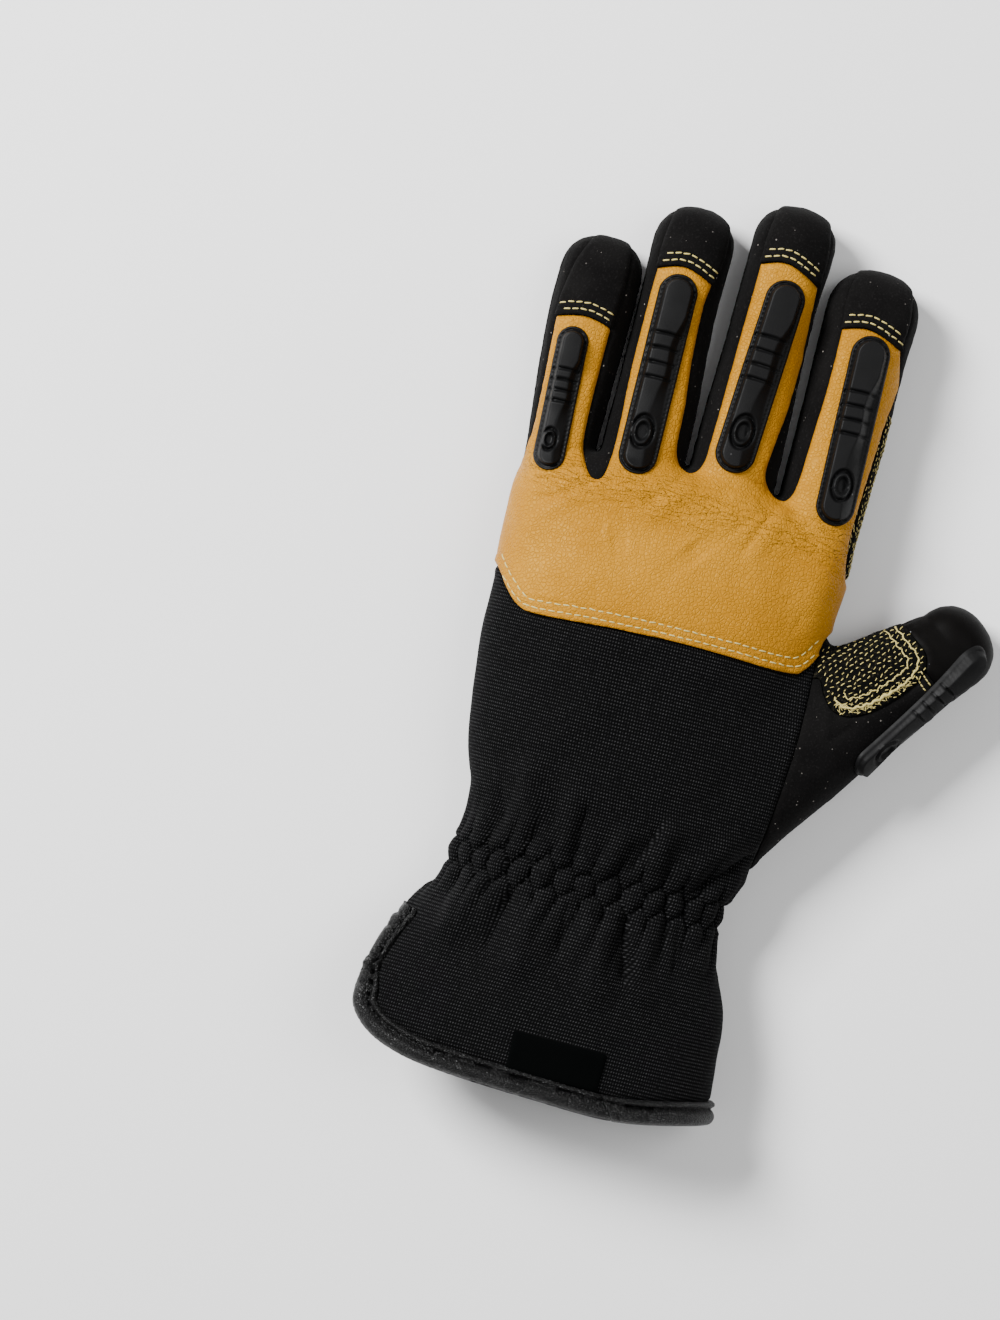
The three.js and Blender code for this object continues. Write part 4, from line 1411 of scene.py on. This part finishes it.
def new_group(name, inputs, outputs):
    """An empty node group with named inputs and outputs, and its two end nodes."""
    group = bpy.data.node_groups.new(name, "ShaderNodeTree")
    for socket_name, kind, value in inputs:
        socket = group.interface.new_socket(socket_name, in_out="INPUT", socket_type=kind)
        if value is not None:
            socket.default_value = value
    for socket_name in outputs:
        group.interface.new_socket(socket_name, in_out="OUTPUT", socket_type=FLOAT)
    return group, group.nodes.new("NodeGroupInput"), group.nodes.new("NodeGroupOutput")


def put_out(group, end, **results):
    """Link what a group has worked out to its outputs, by their names."""
    for name, result in results.items():
        group.links.new(result, end.inputs[name])
    print("group:", group.name, "with", len(group.nodes), "nodes")


print("group sockets:", VECTOR, FLOAT)

# %% Leather grain: small rounded pebbles with creases between them
grain_group, start, end = new_group(
    "leather grain",
    [("Position", VECTOR, None), ("Pebbles Per Metre", FLOAT, 900.0), ("Crease Width", FLOAT, 0.12)],
    ["Height", "Creases"],
)
place, scale = start.outputs["Position"], start.outputs["Pebbles Per Metre"]
bent = noise_node(grain_group, place, math_node(grain_group, "MULTIPLY", scale, 0.45), 3)
push = add_node(grain_group, "ShaderNodeVectorMath", {0: bent.outputs["Color"], "Scale": 0.0007},
                operation="SCALE")
moved = add_node(grain_group, "ShaderNodeVectorMath", {0: place, 1: push.outputs[0]}, operation="ADD")
cells = add_node(grain_group, "ShaderNodeTexVoronoi", {"Vector": moved.outputs[0], "Scale": scale},
                 feature="DISTANCE_TO_EDGE")
ratio = math_node(grain_group, "DIVIDE", cells.outputs["Distance"], start.outputs["Crease Width"])
pebble = step_node(grain_group, ratio, 0.0, 1.6)
fine = noise_node(grain_group, place, scale, 4)
fine_height = math_node(grain_group, "MULTIPLY", fine.outputs["Fac"], 0.8)
put_out(grain_group, end, Height=math_node(grain_group, "ADD", pebble, fine_height),
        Creases=math_node(grain_group, "SUBTRACT", 1.0, pebble))

# %% Slow drift: broad soft patches of a shade, as hide and handled cloth have
drift_group, start, end = new_group(
    "slow drift",
    [("Position", VECTOR, None), ("Patches Per Metre", FLOAT, 25.0), ("Seed", FLOAT, 0.0)],
    ["Patches"],
)
patches = noise_node(drift_group, start.outputs["Position"], start.outputs["Patches Per Metre"], 4,
                     noise_dimensions="4D")
patches.inputs["Roughness"].default_value = 0.55
drift_group.links.new(start.outputs["Seed"], patches.inputs["W"])
put_out(drift_group, end, Patches=step_node(drift_group, patches.outputs["Fac"], 0.3, 0.7))

# %% Lint: pale specks that dark cloth and rubber pick up, far apart and uneven in size
lint_group, start, end = new_group(
    "lint",
    [("Position", VECTOR, None), ("Cells Per Metre", FLOAT, 500.0), ("Share Of Cells", FLOAT, 0.06),
     ("Speck Size", FLOAT, 0.2)],
    ["Specks"],
)
spread = {"Vector": start.outputs["Position"], "Scale": start.outputs["Cells Per Metre"]}
cells = add_node(lint_group, "ShaderNodeTexVoronoi", spread, feature="F1")
chance = add_node(lint_group, "ShaderNodeSeparateColor", {0: cells.outputs["Color"]})
chosen = math_node(lint_group, "LESS_THAN", chance.outputs[0], start.outputs["Share Of Cells"])
size = math_node(lint_group, "MULTIPLY", start.outputs["Speck Size"], chance.outputs[1])
near = math_node(lint_group, "LESS_THAN", cells.outputs["Distance"], size)
bright = math_node(lint_group, "MULTIPLY", near, chance.outputs[2])
put_out(lint_group, end, Specks=math_node(lint_group, "MULTIPLY", bright, chosen))

# %% Nap: the short fibres of suede, cloth and dull rubber
nap_group, start, end = new_group(
    "nap",
    [("Position", VECTOR, None), ("Fibres Per Metre", FLOAT, 2500.0)],
    ["Height", "Tips"],
)
fibres = noise_node(nap_group, start.outputs["Position"], start.outputs["Fibres Per Metre"], 5)
fibres.inputs["Roughness"].default_value = 0.65
put_out(nap_group, end, Height=fibres.outputs["Fac"],
        Tips=step_node(nap_group, fibres.outputs["Fac"], 0.52, 0.72))

# %% Fine wrinkles: long shallow lines that leather keeps where the fingers bend
wrinkle_group, start, end = new_group(
    "fine wrinkles",
    [("Position", VECTOR, None), ("Middle", FLOAT, 0.044), ("Reach", FLOAT, 0.014),
     ("Lines Per Metre", FLOAT, 520.0)],
    ["Height"],
)
place = start.outputs["Position"]
stretch = add_node(wrinkle_group, "ShaderNodeVectorMath", {0: place, 1: (0.24, 1.0, 0.5)},
                   operation="MULTIPLY")
lines = noise_node(wrinkle_group, stretch.outputs[0], start.outputs["Lines Per Metre"], 3)
lines.inputs["Distortion"].default_value = 0.35
centred = math_node(wrinkle_group, "SUBTRACT", lines.outputs["Fac"], 0.5)
line = step_node(wrinkle_group, math_node(wrinkle_group, "ABSOLUTE", centred), 0.0, 0.07)
plan = add_node(wrinkle_group, "ShaderNodeSeparateXYZ", {0: place})
wave = add_node(wrinkle_group, "ShaderNodeTexNoise", {"Vector": place, "Scale": 45.0})
away = math_node(wrinkle_group, "SUBTRACT", plan.outputs["Y"], start.outputs["Middle"])
away = math_node(wrinkle_group, "ABSOLUTE", away)
share = math_node(wrinkle_group, "DIVIDE", away, start.outputs["Reach"])
wander = math_node(wrinkle_group, "MULTIPLY", wave.outputs["Fac"], 1.1)
share = math_node(wrinkle_group, "ADD", share, wander)
faded = math_node(wrinkle_group, "SUBTRACT", 1.0, step_node(wrinkle_group, share, 0.55, 1.35))
sunk = math_node(wrinkle_group, "SUBTRACT", line, 1.0)
put_out(wrinkle_group, end, Height=math_node(wrinkle_group, "MULTIPLY", sunk, faded))

# %% Knit: rows of short dashes, one for each loop, in the flat cloth's own directions, with painted highlights on a random share of the loop tops
knit_group, start, end = new_group(
    "knit",
    [("Cloth", VECTOR, None), ("Wales Per Millimetre", FLOAT, 1.15),
     ("Courses Per Millimetre", FLOAT, 0.95), ("Unevenness", FLOAT, 0.14)],
    ["Height", "Loops"],
)
cloth = start.outputs["Cloth"]
uneven = noise_node(knit_group, cloth, 0.5, 3)
wander = math_node(knit_group, "MULTIPLY", uneven.outputs["Fac"], start.outputs["Unevenness"])
plan = add_node(knit_group, "ShaderNodeSeparateXYZ", {0: cloth})
waves = []
for axis, count in (("X", "Wales Per Millimetre"), ("Y", "Courses Per Millimetre")):
    place = math_node(knit_group, "MULTIPLY", plan.outputs[axis], start.outputs[count])
    place = math_node(knit_group, "ADD", place, wander)
    wave = math_node(knit_group, "SINE", math_node(knit_group, "MULTIPLY", place, 2 * math.pi))
    waves.append(math_node(knit_group, "MULTIPLY_ADD", wave, 0.5, 0.5))
loop = math_node(knit_group, "MULTIPLY", math_node(knit_group, "POWER", waves[0], 1.2),
                 math_node(knit_group, "POWER", waves[1], 1.7))
speckle = noise_node(knit_group, cloth, 1.9, 2)
# painted highlights: the tops of a random share of the loops, as a mask that lights up the colour
lit = math_node(knit_group, "MULTIPLY", loop, step_node(knit_group, speckle.outputs["Fac"], 0.2, 0.8))
put_out(knit_group, end, Height=loop, Loops=lit)

# %% Helpers that build one material


class Finish:
    """A material with its shader, its coordinates and short ways to place a group or a bump."""

    def __init__(self, name, roughness, specular=0.5):
        self.material = bpy.data.materials.new(name)
        self.material.use_nodes = True
        self.tree = self.material.node_tree
        self.shader = self.tree.nodes["Principled BSDF"]
        self.shader.inputs["Roughness"].default_value = roughness
        self.shader.inputs["Specular IOR Level"].default_value = specular
        self.place = add_node(self.tree, "ShaderNodeTexCoord").outputs["Object"]
        print("finish:", name)

    def group(self, group, output, position=None, **values):
        """Place a group, set its values by name, and return one of its outputs."""
        inputs = {key.replace("_", " "): value for key, value in values.items()}
        inputs[0] = position or self.place
        return add_node(self.tree, "ShaderNodeGroup", inputs, node_tree=group).outputs[output]

    def mix(self, share, first, second):
        """A colour between two, by a share."""
        inputs = {"Factor": share}
        for key, value in (("A", first), ("B", second)):
            inputs[key] = (*value, 1) if isinstance(value, tuple) else value
        return add_node(self.tree, "ShaderNodeMix", inputs, data_type="RGBA").outputs["Result"]

    def color(self, value):
        """The colour of the surface."""
        self.tree.links.new(value, self.shader.inputs["Base Color"])

    def roughness(self, share, low, high):
        """Roughness between two values, by a share."""
        made = add_node(self.tree, "ShaderNodeMapRange", {"Value": share, "To Min": low, "To Max": high})
        self.tree.links.new(made.outputs["Result"], self.shader.inputs["Roughness"])

    def bump(self, height, distance):
        """A bump of one height in metres, added to those made before."""
        inputs = {"Height": height, "Distance": distance, "Strength": 1.0}
        made = add_node(self.tree, "ShaderNodeBump", inputs)
        normal = self.shader.inputs["Normal"]
        if normal.is_linked:
            self.tree.links.new(normal.links[0].from_socket, made.inputs["Normal"])
        self.tree.links.new(made.outputs["Normal"], normal)

    def sheen(self, weight, roughness):
        """The pale rim of a cloth with a nap."""
        self.shader.inputs["Sheen Weight"].default_value = weight
        self.shader.inputs["Sheen Roughness"].default_value = roughness


print("a finish can place:", [name for name in vars(Finish) if not name.startswith("_")])

# %% Tan leather
tan = Finish("tan leather", 0.5, 0.25)
tan.shader.inputs["Specular Tint"].default_value = (1.0, 0.76, 0.22, 1)
hide = tan.mix(tan.group(drift_group, "Patches", Patches_Per_Metre=38.0, Seed=2.0),
               (0.335, 0.140, 0.0045), (0.40, 0.178, 0.009))
creases = tan.group(grain_group, "Creases", Pebbles_Per_Metre=860.0, Crease_Width=0.13)
hide = tan.mix(math_node(tan.tree, "MULTIPLY", creases, 0.26), hide, (0.24, 0.085, 0.002))
pores = tan.group(lint_group, "Specks", Cells_Per_Metre=1300.0, Share_Of_Cells=0.4, Speck_Size=0.3)
tan.color(tan.mix(math_node(tan.tree, "MULTIPLY", pores, 0.7), hide, (0.22, 0.075, 0.002)))
tan.roughness(tan.group(drift_group, "Patches", Patches_Per_Metre=160.0, Seed=5.0), 0.4, 0.56)
tan.bump(tan.group(drift_group, "Patches", Patches_Per_Metre=200.0, Seed=9.0), 0.0001)
tan.bump(tan.group(wrinkle_group, "Height"), 0.0003)
tan.bump(tan.group(grain_group, "Height", Pebbles_Per_Metre=860.0, Crease_Width=0.13), 0.00011)

# %% Stretch knit
knit = Finish("stretch knit", 0.85, 0.05)
cloth = add_node(knit.tree, "ShaderNodeUVMap", uv_map="cloth").outputs["UV"]
# the light dashes on this near-black knit are painted highlights on its loop tops
loops = knit.group(knit_group, "Loops", position=cloth)
knit.color(knit.mix(loops, (0.0002, 0.0002, 0.0003), (0.058, 0.058, 0.060)))
knit.bump(knit.group(knit_group, "Height", position=cloth), 0.0004)
knit.sheen(0.01, 0.5)

# %% Suede
suede = Finish("brushed suede", 0.92, 0.07)
shade = suede.mix(suede.group(drift_group, "Patches", Patches_Per_Metre=70.0),
                  (0.0017, 0.0015, 0.0015), (0.0038, 0.0035, 0.0034))
tips = suede.group(nap_group, "Tips", Fibres_Per_Metre=1500.0)
shade = suede.mix(math_node(suede.tree, "MULTIPLY", tips, 0.5), shade, (0.014, 0.013, 0.013))
specks = suede.group(lint_group, "Specks", Cells_Per_Metre=850.0, Share_Of_Cells=0.16, Speck_Size=0.22)
suede.color(suede.mix(specks, shade, (0.24, 0.22, 0.20)))
suede.bump(suede.group(nap_group, "Height", Fibres_Per_Metre=1500.0), 0.00018)
suede.sheen(0.012, 0.5)

# %% Flecked knit's ground
aramid = Finish("aramid knit", 0.9, 0.05)
ground = aramid.group(nap_group, "Tips", Fibres_Per_Metre=900.0)
aramid.color(aramid.mix(ground, (0.0015, 0.0015, 0.0014), (0.022, 0.019, 0.011)))
aramid.bump(aramid.group(nap_group, "Height", Fibres_Per_Metre=900.0), 0.0004)

# %% Smooth cloth of the thumb's tip
smooth = Finish("smooth cloth", 0.6, 0.04)
shade = smooth.mix(smooth.group(drift_group, "Patches", Patches_Per_Metre=60.0, Seed=4.0),
                   (0.0014, 0.0012, 0.0011), (0.0028, 0.0025, 0.0023))
specks = smooth.group(lint_group, "Specks", Cells_Per_Metre=520.0, Share_Of_Cells=0.07, Speck_Size=0.14)
smooth.color(smooth.mix(specks, shade, (0.3, 0.3, 0.3)))
smooth.roughness(smooth.group(drift_group, "Patches", Patches_Per_Metre=90.0, Seed=7.0), 0.45, 0.62)
smooth.bump(smooth.group(nap_group, "Height", Fibres_Per_Metre=2600.0), 0.00006)

# %% Guard rubber
rubber = Finish("guard rubber", 0.55, 0.12)
shade = rubber.mix(rubber.group(drift_group, "Patches", Patches_Per_Metre=80.0, Seed=3.0),
                   (0.0024, 0.0024, 0.0025), (0.0036, 0.0036, 0.0038))
specks = rubber.group(lint_group, "Specks", Cells_Per_Metre=420.0, Share_Of_Cells=0.13, Speck_Size=0.14)
rubber.color(rubber.mix(specks, shade, (0.2, 0.2, 0.2)))
rubber.roughness(rubber.group(drift_group, "Patches", Patches_Per_Metre=200.0, Seed=6.0), 0.46, 0.6)
rubber.bump(rubber.group(nap_group, "Height", Fibres_Per_Metre=2300.0), 0.00004)

# %% Binding leather
bound = Finish("binding leather", 0.4, 0.27)
shade = bound.group(grain_group, "Creases", Pebbles_Per_Metre=1250.0, Crease_Width=0.16)
bound.color(bound.mix(shade, (0.0022, 0.0022, 0.0023), (0.0008, 0.0008, 0.0008)))
bound.roughness(bound.group(drift_group, "Patches", Patches_Per_Metre=120.0, Seed=8.0), 0.34, 0.5)
bound.bump(bound.group(grain_group, "Height", Pebbles_Per_Metre=1250.0, Crease_Width=0.16), 0.00026)

# %% Label cloth
woven = Finish("label cloth", 0.85, 0.03)
label_cloth = add_node(woven.tree, "ShaderNodeUVMap", uv_map="cloth").outputs["UV"]
weave = woven.group(knit_group, "Height", position=label_cloth, Wales_Per_Millimetre=3.2,
                    Courses_Per_Millimetre=2.6, Unevenness=0.1)
woven.color(woven.mix(weave, (0.0003, 0.0005, 0.0005), (0.0009, 0.0013, 0.0012)))
woven.bump(weave, 0.00006)

# %% Cream thread
thread = Finish("cream thread", 0.75, 0.2)
strands = thread.group(nap_group, "Height", Fibres_Per_Metre=2800.0)
thread.color(thread.mix(strands, (0.24, 0.18, 0.045), (0.70, 0.60, 0.235)))
thread.bump(strands, 0.00012)

# %% Put the finishes on the pieces
FINISHES = dict(
    tan_leather=tan, stretch_knit=knit, suede=suede, aramid_knit=aramid, smooth_cloth=smooth,
    guard_rubber=rubber, binding_leather=bound, label_cloth=woven, cream_thread=thread,
)
pieces = [*panels.values(), *guards, binding, label, stitches, *fleck_pieces, threads]


def lay_out_cloth(obj):
    """A flat layout in millimetres for the cloth's pattern: round the hand across, along it up."""
    mesh = obj.data
    points = np.empty(3 * len(mesh.vertices))
    mesh.vertices.foreach_get("co", points)
    points = points.reshape(-1, 3) / MM + ORIGIN
    round_it = round_the_hand(points)
    corner = np.empty(len(mesh.loops), int)
    mesh.loops.foreach_get("vertex_index", corner)
    layout = mesh.uv_layers.new(name="cloth")
    layout.data.foreach_set("uv", np.stack([round_it, points[:, 1]], 1)[corner].ravel())


for piece in pieces:
    finish = FINISHES[piece["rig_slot"]]
    piece.data.materials.append(finish.material)
    if finish in (knit, woven):
        lay_out_cloth(piece)
print("triangles in all:", sum(len(piece.data.polygons) for piece in pieces))
print("finishes:", [finish.material.name for finish in FINISHES.values()])

# %% [markdown]

# %% [markdown]
# ## Floor, light and camera
#
# The picture was taken from straight above on a plain pale sweep, with the glove turned 15 degrees.

# %% Floor
PHOTO_TURN = math.radians(15)
floor = bpy.data.objects.new("floor", bpy.data.meshes.new("floor"))
floor.data.from_pydata([(-2, -2, 0), (2, -2, 0), (2, 2, 0), (-2, 2, 0)], [], [(0, 1, 2, 3)])
bpy.context.scene.collection.objects.link(floor)
sweep = Finish("pale floor", 0.9, 0.2)
grey = sweep.group(drift_group, "Patches", Patches_Per_Metre=6.0)
sweep.color(sweep.mix(grey, (0.93, 0.93, 0.93), (0.95, 0.95, 0.95)))
floor.data.materials.append(sweep.material)

# %% Camera
VIEW_CENTRE = (-42.1, -28.4)  # the middle of the picture, on the glove
VIEW_TALL = 396.0
LENS = 150.0
camera_data = bpy.data.cameras.new("camera")
camera_data.lens = LENS
camera_data.sensor_fit = "VERTICAL"
camera_data.sensor_height = 36
camera = bpy.data.objects.new("camera", camera_data)
bpy.context.scene.collection.objects.link(camera)
centre = to_frame([*VIEW_CENTRE, 12.0])
camera.location = (centre[0], centre[1], centre[2] + VIEW_TALL * MM * LENS / 36)
camera.rotation_euler = (0, 0, PHOTO_TURN)
bpy.context.scene.camera = camera
print("camera height:", round(camera.location.z, 3), "m")

# %% Light
ROOM_LIGHT = 0.4
world = bpy.data.worlds.new("world")
world.use_nodes = True
world.node_tree.nodes["Background"].inputs["Color"].default_value = (1, 1, 1, 1)
world.node_tree.nodes["Background"].inputs["Strength"].default_value = ROOM_LIGHT
bpy.context.scene.world = world


def add_light(name, place, size, power):
    """A square area light that looks at the middle of the glove."""
    data = bpy.data.lights.new(name, "AREA")
    data.size = size
    data.energy = power
    light = bpy.data.objects.new(name, data)
    light.location = place
    light.rotation_euler = (Vector((0, 0, 0)) - Vector(place)).to_track_quat("-Z", "Y").to_euler()
    bpy.context.scene.collection.objects.link(light)
    return light


add_light("key", (-1.15, 0.55, 1.05), 0.6, 68)
add_light("fill", (0.9, 0.4, 1.5), 1.2, 15)
